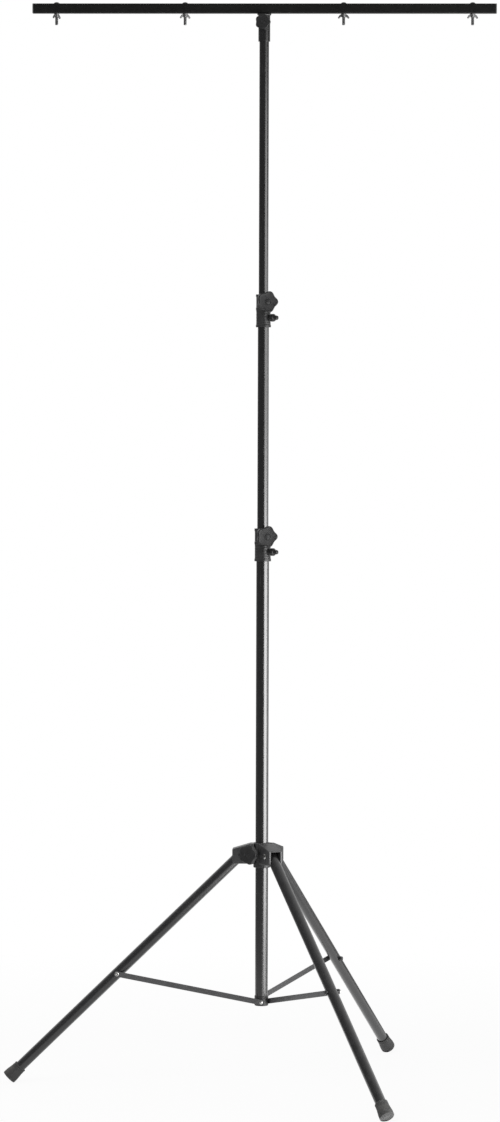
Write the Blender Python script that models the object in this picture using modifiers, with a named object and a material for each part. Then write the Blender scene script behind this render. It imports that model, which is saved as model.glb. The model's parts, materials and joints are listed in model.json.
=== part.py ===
"""Folding light stand: tripod base, three-section mast and a crossbar for four lamps.

Units are metres, +Z is up and the floor is z = 0. The mast stands on a sleeve-and-strut
tripod: three legs hang from a hub that slides on the column, and a flat strut ties each
leg to the column's foot. Every piece of the real stand is its own object.
"""
from collections import namedtuple
from math import atan2, cos, degrees, hypot, pi, radians, sin, sqrt

import bmesh
import bpy
from mathutils import Vector

# Gaps
CLEARANCE = 0.0003          # between faces that touch on the real stand
RUNNING_GAP = 0.0005        # between a tube and the tube or sleeve that it slides in
MERGE_DISTANCE = 0.00001
OVERRUN = 0.010             # how far a cutter runs past what it cuts

# Mast tubes
TUBE_WALL = 0.0015
UPPER_TUBE_RADIUS = 0.0125
MIDDLE_TUBE_RADIUS = UPPER_TUBE_RADIUS + RUNNING_GAP + TUBE_WALL
COLUMN_RADIUS = MIDDLE_TUBE_RADIUS + RUNNING_GAP + TUBE_WALL
COLUMN_FOOT_HEIGHT = 0.207
COLUMN_LENGTH = 1.195
MIDDLE_TUBE_LENGTH = 1.160
UPPER_TUBE_LENGTH = 1.200
MIDDLE_SHOWN = 0.522        # from the column's collar to the next collar, as photographed
UPPER_SHOWN = 0.653         # from that collar to the crossbar's sleeve, as photographed

# Clamp collars at the top of the column and of the middle tube
COLLAR_HEIGHT = 0.085
COLLAR_GRIP = 0.038         # length of tube held in the collar
COLLAR_WALL = 0.0042
COLLAR_RIM = 0.0009         # how far the rims stand proud
COLLAR_RIM_HEIGHT = 0.006
COLLAR_BAND_HEIGHT = 0.0475  # middle of the raised band, above the collar's lower end
CLAMP_ABOVE_COLLAR_FOOT = 0.0655
PIN_ABOVE_COLLAR_FOOT = 0.0245
CLAMP_AZIMUTH = radians(-75)
PIN_AZIMUTH = radians(-34)
BOSS_RADIUS = 0.0095
BOSS_REACH = 0.0095         # boss length outside the collar's wall

# Clamp knobs
KnobSize = namedtuple("KnobSize", "radius valley thickness neck_radius screw_radius screw_depth")
MAST_KNOB = KnobSize(0.0280, 0.0195, 0.0165, 0.0105, 0.0040, 0.0120)
HUB_KNOB = KnobSize(0.0265, 0.0190, 0.0150, 0.0105, 0.0040, 0.0110)
BAR_KNOB = KnobSize(0.0200, 0.0150, 0.0115, 0.0070, 0.0030, 0.0080)
KNOB_LOBES = 5
KNOB_POINTS_PER_LOBE = 6
KNOB_EDGE = 0.0028
KNOB_EDGE_ANGLE = radians(60)
MAST_KNOB_NECK = 0.005
BAR_KNOB_NECK = 0.002

# Spring safety pins
PIN_RADIUS = 0.0025
PIN_HOUSING_RADIUS = 0.0055
PIN_HOUSING_FLANGE_RADIUS = 0.0080
PIN_HOUSING_FLANGE = 0.0025
PIN_HOUSING_REACH = 0.0050
PIN_KNOB_RADIUS = 0.0100
PIN_KNOB_EDGE = 0.0015
PIN_KNOB_BASE = 0.0100      # length of the wide part of the knob
PIN_KNOB_TIP_RADIUS = 0.0058
PIN_KNOB_TAPER = 0.0030
PIN_KNOB_LENGTH = 0.0205
PIN_KNOB_DOME = 0.0035
PIN_IN_KNOB = 0.013

# Crossbar
BAR_LENGTH = 1.200
BAR_SIZE = 0.025
BAR_WALL = 0.0015
BAR_CORNER = 0.0025
BAR_CAP_FLANGE = 0.003
BAR_CAP_INSERT = 0.012
SLEEVE_LENGTH = 0.072
SLEEVE_WALL = 0.0027
SADDLE_LENGTH = 0.036
SADDLE_WIDTH = 0.0245
SADDLE_THICKNESS = 0.003
TUBE_TO_SADDLE = 0.002
SLEEVE_CLAMP_BELOW_BAR = 0.0235
SLEEVE_CLAMP_AZIMUTH = radians(-96)
SLEEVE_BOSS_RADIUS = 0.007
SLEEVE_BOSS_REACH = 0.0045

# Lamp bolts and wing nuts
OUTER_BOLT_TO_BAR_END = 0.062
INNER_BOLT_OFFSET = 0.205   # from the bar's middle
LAMP_BOLT_RADIUS = 0.004
LAMP_BOLT_HEAD_RADIUS = 0.0072
LAMP_BOLT_HEAD_HEIGHT = 0.0036
LAMP_BOLT_BELOW_BAR = 0.0300
WING_NUT_HEIGHT = 0.0095
WING_NUT_TOP_RADIUS = 0.0066
WING_NUT_FOOT_RADIUS = 0.0056
WING_SPAN = 0.0295
WING_DROP = 0.0130
WING_THICKNESS = 0.0024
WING_TIP_RADIUS = 0.0022
WING_ROOT_RADIUS = 0.0048
WING_ROOT_TOP = 0.0014      # below the nut's seat
WING_ROOT_FOOT = 0.0076
WING_SHOULDER = 0.0066      # inwards from the wing's tip
WING_SHOULDER_DROP = 0.0033
WING_TURNS = (radians(55), radians(28), radians(6), radians(20))

# Tripod
LEG_AZIMUTHS = {"left": pi, "front": -pi / 3, "rear": pi / 3}
LEG_RADIUS = 0.014
LEG_WALL = 0.0015
LEG_LENGTH = 0.846          # from the hub's pivot to the end of the rubber foot
LEG_SPREAD = radians(45.8)  # from the vertical
HUB_PIVOT_RADIUS = 0.054    # from the column's axis to a leg's pivot
LEG_TO_STRUT = 0.450        # from a leg's pivot to its strut's bolt
LEG_TUBE_ABOVE_PIVOT = 0.004
LEG_PLUG_BELOW_PIVOT = 0.013
FOOT_CAP_LENGTH = 0.043
FOOT_CAP_TOP_RADIUS = 0.0170
FOOT_CAP_END_RADIUS = 0.01925
FOOT_CAP_FLOOR = 0.006
FOOT_CAP_EDGE = 0.0008
FOOT_CAP_COLLAR = 0.013     # length of the straight part at its top
FOOT_CAP_BASE = 0.011       # length of the straight part at its end
FOOT_FLAT_DEPTH = 0.0010    # how far the rubber is pressed flat on the floor

# Hub
HUB_ABOVE_PIVOT = 0.031
HUB_BELOW_PIVOT = 0.034
HUB_WALL = 0.005
HUB_EDGE = 0.0015
ARM_REACH = 0.0765          # from the column's axis
ARM_CHEEK = 0.0054
ARM_SIDE_GAP = 0.0006
ARM_ROOF = 0.003
ARM_TOP_AT_HUB = 0.029      # above the pivot
ARM_TOP_AT_END = 0.0160
ARM_FLAT_TO = 0.030         # the roof is level as far as this from the column's axis
ARM_BELOW_PIVOT = 0.023
ARM_TOP_CORNER = 0.002
ARM_FOOT_CORNER = 0.005
HUB_POCKET_WEB = 0.0015
PIVOT_PIN_RADIUS = 0.004
PIVOT_HEAD_RADIUS = 0.0065
PIVOT_HEAD_HEIGHT = 0.0025
HUB_KNOB_AZIMUTH = radians(-120)
HUB_KNOB_START = 0.0575     # from the column's axis to the knob's near face
HUB_KNOB_ABOVE_PIVOT = 0.005
HUB_BOSS_RADIUS = 0.0100
HUB_BOSS_REACH = 0.018

# Struts
STRUT_WIDTH = 0.014
STRUT_THICKNESS = 0.003
STRUT_FOOT_ABOVE_COLUMN_FOOT = 0.010
STRUT_RIVET_RADIUS = 0.0025
STRUT_RIVET_HEAD_RADIUS = 0.0050
STRUT_RIVET_HEAD_FLAT = 0.0030
STRUT_RIVET_HEAD_HEIGHT = 0.0025
STRUT_BOLT_RADIUS = 0.003
STRUT_BOLT_HEAD_RADIUS = 0.0055
STRUT_BOLT_HEAD_HEIGHT = 0.0035
STRUT_SPACER_RADIUS = 0.0050
STRUT_NUT_RADIUS = 0.0060
STRUT_NUT_SIDES = 6
STRUT_NUT_HEIGHT = 0.0055
STRUT_WASHER_RADIUS = 0.0065
STRUT_WASHER_HEIGHT = 0.0012

# Column foot
FOOT_RING_WALL = 0.0012
FOOT_RING_HEIGHT = 0.026
FOOT_BASE_HEIGHT = 0.003
FOOT_PLUG_HEIGHT = 0.023
RIVET_IN_PLUG = 0.008

# Guide bushes at the lower ends of the inner tubes
BUSH_FLANGE = 0.008
BUSH_STEM = 0.018
BUSH_BORE_RADIUS = 0.004

# Roundness of turned pieces
TUBE_SIDES = 20
SMALL_SIDES = 12

# Heights that follow from the sizes above
FOOT_RIM_DROP = FOOT_CAP_END_RADIUS * sin(LEG_SPREAD) - FOOT_FLAT_DEPTH
PIVOT_HEIGHT = LEG_LENGTH * cos(LEG_SPREAD) + FOOT_RIM_DROP
STRUT_FOOT_HEIGHT = COLUMN_FOOT_HEIGHT + STRUT_FOOT_ABOVE_COLUMN_FOOT
COLUMN_TOP = COLUMN_FOOT_HEIGHT + FOOT_BASE_HEIGHT + CLEARANCE + COLUMN_LENGTH
LOWER_COLLAR_FOOT = COLUMN_TOP - COLLAR_GRIP
UPPER_COLLAR_FOOT = LOWER_COLLAR_FOOT + COLLAR_HEIGHT + MIDDLE_SHOWN
MIDDLE_TUBE_TOP = UPPER_COLLAR_FOOT + COLLAR_GRIP
SLEEVE_FOOT = UPPER_COLLAR_FOOT + COLLAR_HEIGHT + UPPER_SHOWN
SLEEVE_TOP = SLEEVE_FOOT + SLEEVE_LENGTH
UPPER_TUBE_TOP = SLEEVE_TOP - SADDLE_THICKNESS - TUBE_TO_SADDLE
BAR_UNDERSIDE = SLEEVE_TOP + CLEARANCE
BAR_CENTRE = BAR_UNDERSIDE + BAR_SIZE / 2

# Strut geometry, from the leg's bolt to the pivot at the column's foot
STRUT_BOLT_REACH = HUB_PIVOT_RADIUS + LEG_TO_STRUT * sin(LEG_SPREAD)
STRUT_RISE = PIVOT_HEIGHT - LEG_TO_STRUT * cos(LEG_SPREAD) - STRUT_FOOT_HEIGHT
STRUT_LENGTH = hypot(STRUT_BOLT_REACH, STRUT_RISE)
STRUT_ANGLE = atan2(STRUT_RISE, STRUT_BOLT_REACH)
FOOT_RING_RADIUS = COLUMN_RADIUS + CLEARANCE + FOOT_RING_WALL
STRUT_INNER_FACE = max(FOOT_RING_RADIUS, LEG_RADIUS + CLEARANCE) + CLEARANCE
STRUT_OUTER_FACE = STRUT_INNER_FACE + STRUT_THICKNESS
OUTER_BOLT_OFFSET = BAR_LENGTH / 2 - OUTER_BOLT_TO_BAR_END
LAMP_BOLT_OFFSETS = (-OUTER_BOLT_OFFSET, -INNER_BOLT_OFFSET, INNER_BOLT_OFFSET, OUTER_BOLT_OFFSET)

# The stand's box is longer on the left leg's side, so its middle is not the column's axis
FOOT_REACH = HUB_PIVOT_RADIUS + LEG_LENGTH * sin(LEG_SPREAD) + FOOT_CAP_END_RADIUS * cos(LEG_SPREAD)
COLUMN_X = (FOOT_REACH - BAR_LENGTH / 2) / 2

# Finishes: base colour, roughness, metallic
FINISHES = {
    "black_powder_coat": ((0.018, 0.018, 0.019), 0.34, 0.0),
    "black_bar_coat": ((0.014, 0.014, 0.013), 0.45, 0.0),
    "grey_black_plastic": ((0.045, 0.045, 0.047), 0.50, 0.0),
    "knob_plastic": ((0.050, 0.050, 0.052), 0.48, 0.0),
    "black_rubber": ((0.040, 0.040, 0.040), 0.75, 0.0),
    "zinc_plate": ((0.52, 0.52, 0.50), 0.35, 1.0),
    "blackened_steel": ((0.035, 0.035, 0.036), 0.42, 0.6),
    "strut_paint": ((0.060, 0.060, 0.062), 0.42, 0.0),
}

PARTS = "light_stand"
CUTTERS = "light_stand_cutters"


def clear_scene():
    """Remove every object, and the collections and meshes left from an earlier run."""
    for item in list(bpy.data.objects):
        bpy.data.objects.remove(item, do_unlink=True)
    for name in (PARTS, CUTTERS):
        old = bpy.data.collections.get(name)
        if old:
            bpy.data.collections.remove(old)
    for name in (PARTS, CUTTERS):
        bpy.context.scene.collection.children.link(bpy.data.collections.new(name))


def finish(name):
    """Return the named material, made on first use."""
    found = bpy.data.materials.get(name)
    if found:
        return found
    colour, roughness, metallic = FINISHES[name]
    made = bpy.data.materials.new(name)
    made.use_nodes = True
    shader = made.node_tree.nodes["Principled BSDF"]
    shader.inputs["Base Color"].default_value = (*colour, 1.0)
    shader.inputs["Roughness"].default_value = roughness
    shader.inputs["Metallic"].default_value = metallic
    made.diffuse_color = (*colour, 1.0)
    return made


def add_object(name, data, parent, coat=None, location=(0, 0, 0), rotation=(0, 0, 0)):
    """Link an object under its parent; without a coat it is a cutter."""
    made = bpy.data.objects.new(name, data)
    made.parent = parent
    made.location = location
    made.rotation_euler = rotation
    if coat:
        bpy.data.collections[PARTS].objects.link(made)
        data.materials.append(finish(coat))
    else:
        bpy.data.collections[CUTTERS].objects.link(made)
        made.hide_render = True
        made.display_type = 'WIRE'
    return made


def empty(name, parent=None, location=(0, 0, 0), rotation=(0, 0, 0)):
    """A frame that pieces are parented to."""
    made = bpy.data.objects.new(name, None)
    made.empty_display_size = 0.03
    made.parent = parent
    made.location = location
    made.rotation_euler = rotation
    bpy.data.collections[PARTS].objects.link(made)
    return made


def turned(name, profile, parent, coat=None, closed=False, sides=SMALL_SIDES, **place):
    """Turn a profile of (radius, height) points about the local Z axis.

    The points run down the outer side, from top to bottom. An open profile starts and ends
    on the axis, and a closed one is a ring such as a tube's wall.
    """
    mesh = bpy.data.meshes.new(name)
    bm = bmesh.new()
    points = [bm.verts.new((radius, 0, height)) for radius, height in profile]
    for first, second in zip(points, points[1:]):
        bm.edges.new((first, second))
    if closed:
        bm.edges.new((points[-1], points[0]))
    bm.to_mesh(mesh)
    bm.free()
    made = add_object(name, mesh, parent, coat, **place)
    screw = made.modifiers.new("Turn", 'SCREW')
    screw.axis = 'Z'
    screw.angle = 2 * pi
    screw.steps = sides
    screw.render_steps = sides
    screw.use_merge_vertices = True
    screw.merge_threshold = MERGE_DISTANCE
    screw.use_smooth_shade = True
    return made


def tube_wall(outer, inner, top, bottom):
    """Closed profile of a plain tube."""
    return [(outer, top), (outer, bottom), (inner, bottom), (inner, top)]


def rod(radius, top, bottom):
    """Open profile of a solid cylinder."""
    return [(0, top), (radius, top), (radius, bottom), (0, bottom)]


def box(name, size, parent, coat=None, **place):
    """A box of the given size, centred on its place."""
    mesh = bpy.data.meshes.new(name)
    bm = bmesh.new()
    bmesh.ops.create_cube(bm, size=1.0)
    bmesh.ops.scale(bm, vec=Vector(size), verts=bm.verts)
    bm.to_mesh(mesh)
    bm.free()
    return add_object(name, mesh, parent, coat, **place)


def arc(centre, radius, start, end, steps):
    """Points along an arc, both ends included."""
    turn = (end - start) / steps
    angles = [start + turn * step for step in range(steps + 1)]
    return [(centre[0] + radius * cos(a), centre[1] + radius * sin(a)) for a in angles]


def plate(name, outline, thickness, parent, coat=None, **place):
    """A flat outline in the local XY plane, extruded half its thickness to each side."""
    curve = bpy.data.curves.new(name + "_outline", 'CURVE')
    curve.dimensions = '2D'
    curve.fill_mode = 'BOTH'
    curve.extrude = thickness / 2
    line = curve.splines.new('POLY')
    line.points.add(len(outline) - 1)
    for point, (x, y) in zip(line.points, outline):
        point.co = (x, y, 0, 1)
    line.use_cyclic_u = True
    holder = bpy.data.objects.new(name + "_outline", curve)
    bpy.context.scene.collection.objects.link(holder)
    bpy.context.view_layer.update()
    evaluated = holder.evaluated_get(bpy.context.evaluated_depsgraph_get())
    mesh = bpy.data.meshes.new_from_object(evaluated)
    mesh.name = name
    bpy.data.objects.remove(holder, do_unlink=True)
    bpy.data.curves.remove(curve)
    bm = bmesh.new()
    bm.from_mesh(mesh)
    bmesh.ops.remove_doubles(bm, verts=bm.verts, dist=MERGE_DISTANCE)
    bmesh.ops.recalc_face_normals(bm, faces=bm.faces)
    bm.to_mesh(mesh)
    bm.free()
    mesh.materials.clear()
    return add_object(name, mesh, parent, coat, **place)


def combine(target, other, operation):
    """Add an exact Boolean of another object to the target."""
    step = target.modifiers.new(other.name, 'BOOLEAN')
    step.operation = operation
    step.solver = 'EXACT'
    step.object = other


def cut(target, cutter):
    combine(target, cutter, 'DIFFERENCE')


def join(target, piece):
    combine(target, piece, 'UNION')


def outward(azimuth, reach=0.0, height=0.0):
    """Place of an object whose local Z axis points level, away from the column's axis."""
    return {"location": (reach * cos(azimuth), reach * sin(azimuth), height),
            "rotation": (0, pi / 2, azimuth)}


def bore(name, target, radius, start, end, parent, **place):
    """Cut a round hole along the local Z axis, from start to end."""
    cutter = turned(name, rod(radius, end, start), parent, **place)
    cut(target, cutter)
    return cutter


# Column

def build_column(stand):
    """Lower mast tube with the foot that the struts are riveted to."""
    frame = empty("column_frame", stand, location=(0, 0, COLUMN_FOOT_HEIGHT))
    foot_end = FOOT_BASE_HEIGHT + CLEARANCE
    wall = tube_wall(COLUMN_RADIUS, COLUMN_RADIUS - TUBE_WALL, foot_end + COLUMN_LENGTH, foot_end)
    tube = turned("column_tube", wall, frame, "black_powder_coat", closed=True, sides=TUBE_SIDES)
    plug = COLUMN_RADIUS - TUBE_WALL - CLEARANCE
    groove = COLUMN_RADIUS + CLEARANCE
    foot = turned("column_foot",
                  [(0, FOOT_PLUG_HEIGHT), (plug, FOOT_PLUG_HEIGHT), (plug, FOOT_BASE_HEIGHT),
                   (groove, FOOT_BASE_HEIGHT), (groove, FOOT_RING_HEIGHT),
                   (FOOT_RING_RADIUS, FOOT_RING_HEIGHT), (FOOT_RING_RADIUS, 0), (0, 0)],
                  frame, "grey_black_plastic", sides=TUBE_SIDES)
    for side, azimuth in LEG_AZIMUTHS.items():
        across = outward(azimuth + pi / 2, 0, STRUT_FOOT_ABOVE_COLUMN_FOOT)
        tail = RIVET_IN_PLUG
        head = STRUT_OUTER_FACE + CLEARANCE
        top = head + STRUT_RIVET_HEAD_HEIGHT
        turned(f"strut_rivet_{side}",
               [(0, top), (STRUT_RIVET_HEAD_FLAT, top), (STRUT_RIVET_HEAD_RADIUS, (head + top) / 2),
                (STRUT_RIVET_HEAD_RADIUS, head), (STRUT_RIVET_RADIUS, head),
                (STRUT_RIVET_RADIUS, tail), (0, tail)],
               frame, "zinc_plate", **across)
        hole = STRUT_RIVET_RADIUS + CLEARANCE
        bore(f"rivet_hole_{side}", foot, hole, tail - CLEARANCE, head, frame, **across)
        bore(f"rivet_hole_tube_{side}", tube, hole, tail, head, frame, **across)
    return tube


def build_collar(name, frame, outer_tube, outer_radius, inner_radius):
    """Clamp collar on top of a tube, with its knob, clamp screw and spring safety pin.

    The frame's origin is on the column's axis at the collar's lower end. The collar grips
    the outer tube below and guides the inner tube above it.
    """
    grip = outer_radius + CLEARANCE
    guide = inner_radius + RUNNING_GAP
    body = outer_radius + COLLAR_WALL
    rim = body + COLLAR_RIM
    band_top = COLLAR_BAND_HEIGHT + COLLAR_RIM_HEIGHT / 2
    band_foot = COLLAR_BAND_HEIGHT - COLLAR_RIM_HEIGHT / 2
    top = COLLAR_HEIGHT
    shoulder = COLLAR_GRIP + CLEARANCE
    collar = turned(f"{name}_collar",
                    [(rim, top), (rim, top - COLLAR_RIM_HEIGHT), (body, top - COLLAR_RIM_HEIGHT),
                     (body, band_top), (rim, band_top), (rim, band_foot), (body, band_foot),
                     (body, COLLAR_RIM_HEIGHT), (rim, COLLAR_RIM_HEIGHT), (rim, 0),
                     (grip, 0), (grip, shoulder), (guide, shoulder), (guide, top)],
                    frame, "grey_black_plastic", closed=True, sides=TUBE_SIDES)
    boss_end = body + BOSS_REACH
    clamp = outward(CLAMP_AZIMUTH, 0, CLAMP_ABOVE_COLLAR_FOOT)
    boss = turned(f"{name}_boss", rod(BOSS_RADIUS, boss_end, body - COLLAR_WALL / 2), frame, **clamp)
    join(collar, boss)
    inside = inner_radius - OVERRUN
    bore(f"{name}_clamp_hole", collar, MAST_KNOB.screw_radius + CLEARANCE, inside,
         boss_end + CLEARANCE, frame, **clamp)
    pin = outward(PIN_AZIMUTH, 0, PIN_ABOVE_COLLAR_FOOT)
    bore(f"{name}_pin_hole", collar, PIN_HOUSING_RADIUS + CLEARANCE, inside, body + OVERRUN, frame, **pin)
    bore(f"{name}_pin_hole_tube", outer_tube, PIN_RADIUS + CLEARANCE, inside, body + OVERRUN,
         frame, **pin)
    build_clamp(name, frame, clamp, inner_radius, boss_end, MAST_KNOB, MAST_KNOB_NECK)
    build_safety_pin(name, frame, pin, outer_radius, inner_radius, rim)


def knob_outline(radius, valley):
    """Star outline with rounded lobes, the first lobe on the local +Y axis."""
    count = KNOB_LOBES * KNOB_POINTS_PER_LOBE
    outline = []
    for index in range(count):
        angle = 2 * pi * index / count
        lobe = (1 + cos(KNOB_LOBES * angle)) / 2
        reach = valley + (radius - valley) * lobe
        outline.append((reach * -sin(angle), reach * cos(angle)))
    return outline


def build_clamp(name, parent, place, tube_radius, boss_end, size, neck):
    """Star knob on a clamp screw whose tip presses on the inner tube."""
    axle = empty(f"{name}_knob_frame", parent, **place)
    start = boss_end + CLEARANCE
    face = start + neck
    middle = face + size.thickness / 2
    knob = plate(f"{name}_knob", knob_outline(size.radius, size.valley), size.thickness, axle,
                 "knob_plastic", location=(0, 0, middle))
    soften = knob.modifiers.new("Rounded edges", 'BEVEL')
    soften.width = KNOB_EDGE
    soften.segments = 2
    soften.limit_method = 'ANGLE'
    soften.angle_limit = KNOB_EDGE_ANGLE
    soften.use_clamp_overlap = True
    join(knob, turned(f"{name}_knob_neck", rod(size.neck_radius, middle, start), axle))
    screw_end = face + size.screw_depth
    bore(f"{name}_screw_socket", knob, size.screw_radius + CLEARANCE, tube_radius,
         screw_end + CLEARANCE, axle)
    turned(f"{name}_clamp_screw", rod(size.screw_radius, screw_end, tube_radius + CLEARANCE), axle,
           "blackened_steel")


def build_safety_pin(name, parent, place, outer_radius, inner_radius, rim):
    """Spring pin that rides on the inner tube, in a threaded housing on the collar."""
    flange = rim + CLEARANCE
    flange_end = flange + PIN_HOUSING_FLANGE
    end = flange + PIN_HOUSING_REACH
    channel = PIN_RADIUS + CLEARANCE
    turned(f"{name}_pin_housing",
           [(PIN_HOUSING_RADIUS, end), (PIN_HOUSING_RADIUS, flange_end),
            (PIN_HOUSING_FLANGE_RADIUS, flange_end), (PIN_HOUSING_FLANGE_RADIUS, flange),
            (PIN_HOUSING_RADIUS, flange), (PIN_HOUSING_RADIUS, outer_radius + CLEARANCE * 2),
            (channel, outer_radius + CLEARANCE * 2), (channel, end)],
           parent, "blackened_steel", closed=True, **place)
    knob_foot = end + CLEARANCE
    knob_end = knob_foot + PIN_KNOB_LENGTH
    pin_end = knob_foot + PIN_IN_KNOB
    dome_centre = (PIN_KNOB_TIP_RADIUS - PIN_KNOB_DOME, knob_end - PIN_KNOB_DOME)
    base_end = knob_foot + PIN_KNOB_BASE
    knob = turned(f"{name}_pin_knob",
                  [(0, knob_end)] + arc(dome_centre, PIN_KNOB_DOME, pi / 2, 0, 3)
                  + [(PIN_KNOB_TIP_RADIUS, base_end + PIN_KNOB_TAPER),
                     (PIN_KNOB_RADIUS - PIN_KNOB_EDGE, base_end),
                     (PIN_KNOB_RADIUS, base_end - PIN_KNOB_EDGE),
                     (PIN_KNOB_RADIUS, knob_foot), (0, knob_foot)],
                  parent, "knob_plastic", **place)
    bore(f"{name}_pin_socket", knob, channel, end, pin_end + CLEARANCE, parent, **place)
    turned(f"{name}_pin", rod(PIN_RADIUS, pin_end, inner_radius + CLEARANCE), parent, "zinc_plate", **place)


def build_bush(name, frame, bore_radius, tube_radius):
    """Plastic guide in the lower end of an inner tube, with the tube's end at the frame."""
    stem = tube_radius - TUBE_WALL - CLEARANCE
    flange = bore_radius - CLEARANCE
    return turned(f"{name}_guide_bush",
                  [(stem, BUSH_STEM), (stem, -CLEARANCE), (flange, -CLEARANCE), (flange, -BUSH_FLANGE),
                   (BUSH_BORE_RADIUS, -BUSH_FLANGE), (BUSH_BORE_RADIUS, BUSH_STEM)],
                  frame, "grey_black_plastic", closed=True, sides=TUBE_SIDES)


def build_mast(stand):
    """Column, middle tube and upper tube, each with what it carries."""
    column = build_column(stand)
    lower = empty("lower_collar_frame", stand, location=(0, 0, LOWER_COLLAR_FOOT))
    build_collar("lower", lower, column, COLUMN_RADIUS, MIDDLE_TUBE_RADIUS)

    middle_foot = MIDDLE_TUBE_TOP - MIDDLE_TUBE_LENGTH
    middle = empty("middle_mast_frame", stand, location=(0, 0, middle_foot))
    middle_tube = turned("middle_tube",
                         tube_wall(MIDDLE_TUBE_RADIUS, MIDDLE_TUBE_RADIUS - TUBE_WALL,
                                   MIDDLE_TUBE_LENGTH, 0),
                         middle, "black_powder_coat", closed=True, sides=TUBE_SIDES)
    build_bush("middle", middle, COLUMN_RADIUS - TUBE_WALL, MIDDLE_TUBE_RADIUS)
    upper_collar = empty("upper_collar_frame", middle, location=(0, 0, UPPER_COLLAR_FOOT - middle_foot))
    build_collar("upper", upper_collar, middle_tube, MIDDLE_TUBE_RADIUS, UPPER_TUBE_RADIUS)

    upper_foot = UPPER_TUBE_TOP - UPPER_TUBE_LENGTH
    upper = empty("upper_mast_frame", stand, location=(0, 0, upper_foot))
    turned("upper_tube",
           tube_wall(UPPER_TUBE_RADIUS, UPPER_TUBE_RADIUS - TUBE_WALL, UPPER_TUBE_LENGTH, 0),
           upper, "black_powder_coat", closed=True, sides=TUBE_SIDES)
    build_bush("upper", upper, MIDDLE_TUBE_RADIUS - TUBE_WALL, UPPER_TUBE_RADIUS)


# Crossbar

def build_bar_tube(frame):
    """Square tube: an open sleeve of four sides, thickened inwards."""
    mesh = bpy.data.meshes.new("crossbar")
    bm = bmesh.new()
    bmesh.ops.create_cube(bm, size=1.0)
    length = BAR_LENGTH - 2 * BAR_CAP_FLANGE - 2 * CLEARANCE
    bmesh.ops.scale(bm, vec=Vector((length, BAR_SIZE, BAR_SIZE)), verts=bm.verts)
    ends = [face for face in bm.faces if abs(face.normal.x) > 0.9]
    bmesh.ops.delete(bm, geom=ends, context='FACES_ONLY')
    long_edges = [edge for edge in bm.edges
                  if abs(edge.verts[0].co.x - edge.verts[1].co.x) > length / 2]
    bmesh.ops.bevel(bm, geom=long_edges, offset=BAR_CORNER, segments=2, profile=0.5,
                    affect='EDGES', material=-1)
    bmesh.ops.recalc_face_normals(bm, faces=bm.faces)
    bm.to_mesh(mesh)
    bm.free()
    bar = add_object("crossbar", mesh, frame, "black_bar_coat")
    wall = bar.modifiers.new("Wall", 'SOLIDIFY')
    wall.thickness = BAR_WALL
    wall.offset = -1
    wall.use_even_offset = True
    return bar


def wing_outline(side):
    """One wing of a wing nut, swept outwards and down, with z = 0 at the nut's seat."""
    tip = WING_SPAN / 2
    points = [(WING_ROOT_RADIUS, -WING_ROOT_TOP), (tip - WING_SHOULDER, -WING_SHOULDER_DROP)]
    points += arc((tip - WING_TIP_RADIUS, WING_TIP_RADIUS - WING_DROP), WING_TIP_RADIUS, pi / 3, -pi, 5)
    points += [(WING_ROOT_RADIUS, -WING_ROOT_FOOT)]
    return [(side * x, z) for x, z in points]


def build_lamp_bolt(number, offset, bar, frame):
    """Bolt down through the bar with a wing nut that clamps a lamp's bracket under it."""
    place = {"location": (offset, 0, 0)}
    top = BAR_SIZE / 2
    head = top + CLEARANCE
    dome = [(LAMP_BOLT_HEAD_RADIUS * sin(a), head + LAMP_BOLT_HEAD_HEIGHT * cos(a))
            for a in (0, pi / 8, pi / 4, 3 * pi / 8, pi / 2)]
    end = -BAR_SIZE / 2 - LAMP_BOLT_BELOW_BAR
    turned(f"lamp_bolt_{number}",
           dome + [(LAMP_BOLT_RADIUS, head), (LAMP_BOLT_RADIUS, end), (0, end)],
           frame, "zinc_plate", **place)
    hole = LAMP_BOLT_RADIUS + CLEARANCE
    bore(f"lamp_bolt_hole_{number}", bar, hole, -top - OVERRUN, top + OVERRUN, frame, **place)

    seat = empty(f"wing_nut_frame_{number}", frame, location=(offset, 0, -BAR_SIZE / 2 - CLEARANCE),
                 rotation=(0, 0, WING_TURNS[number - 1]))
    nut = turned(f"wing_nut_{number}",
                 [(WING_NUT_TOP_RADIUS, 0), (WING_NUT_FOOT_RADIUS, -WING_NUT_HEIGHT),
                  (hole, -WING_NUT_HEIGHT), (hole, 0)],
                 seat, "zinc_plate", closed=True)
    for side in (-1, 1):
        wing = plate(f"wing_{number}_{side}", wing_outline(side), WING_THICKNESS, seat,
                     rotation=(pi / 2, 0, 0))
        join(nut, wing)


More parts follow.
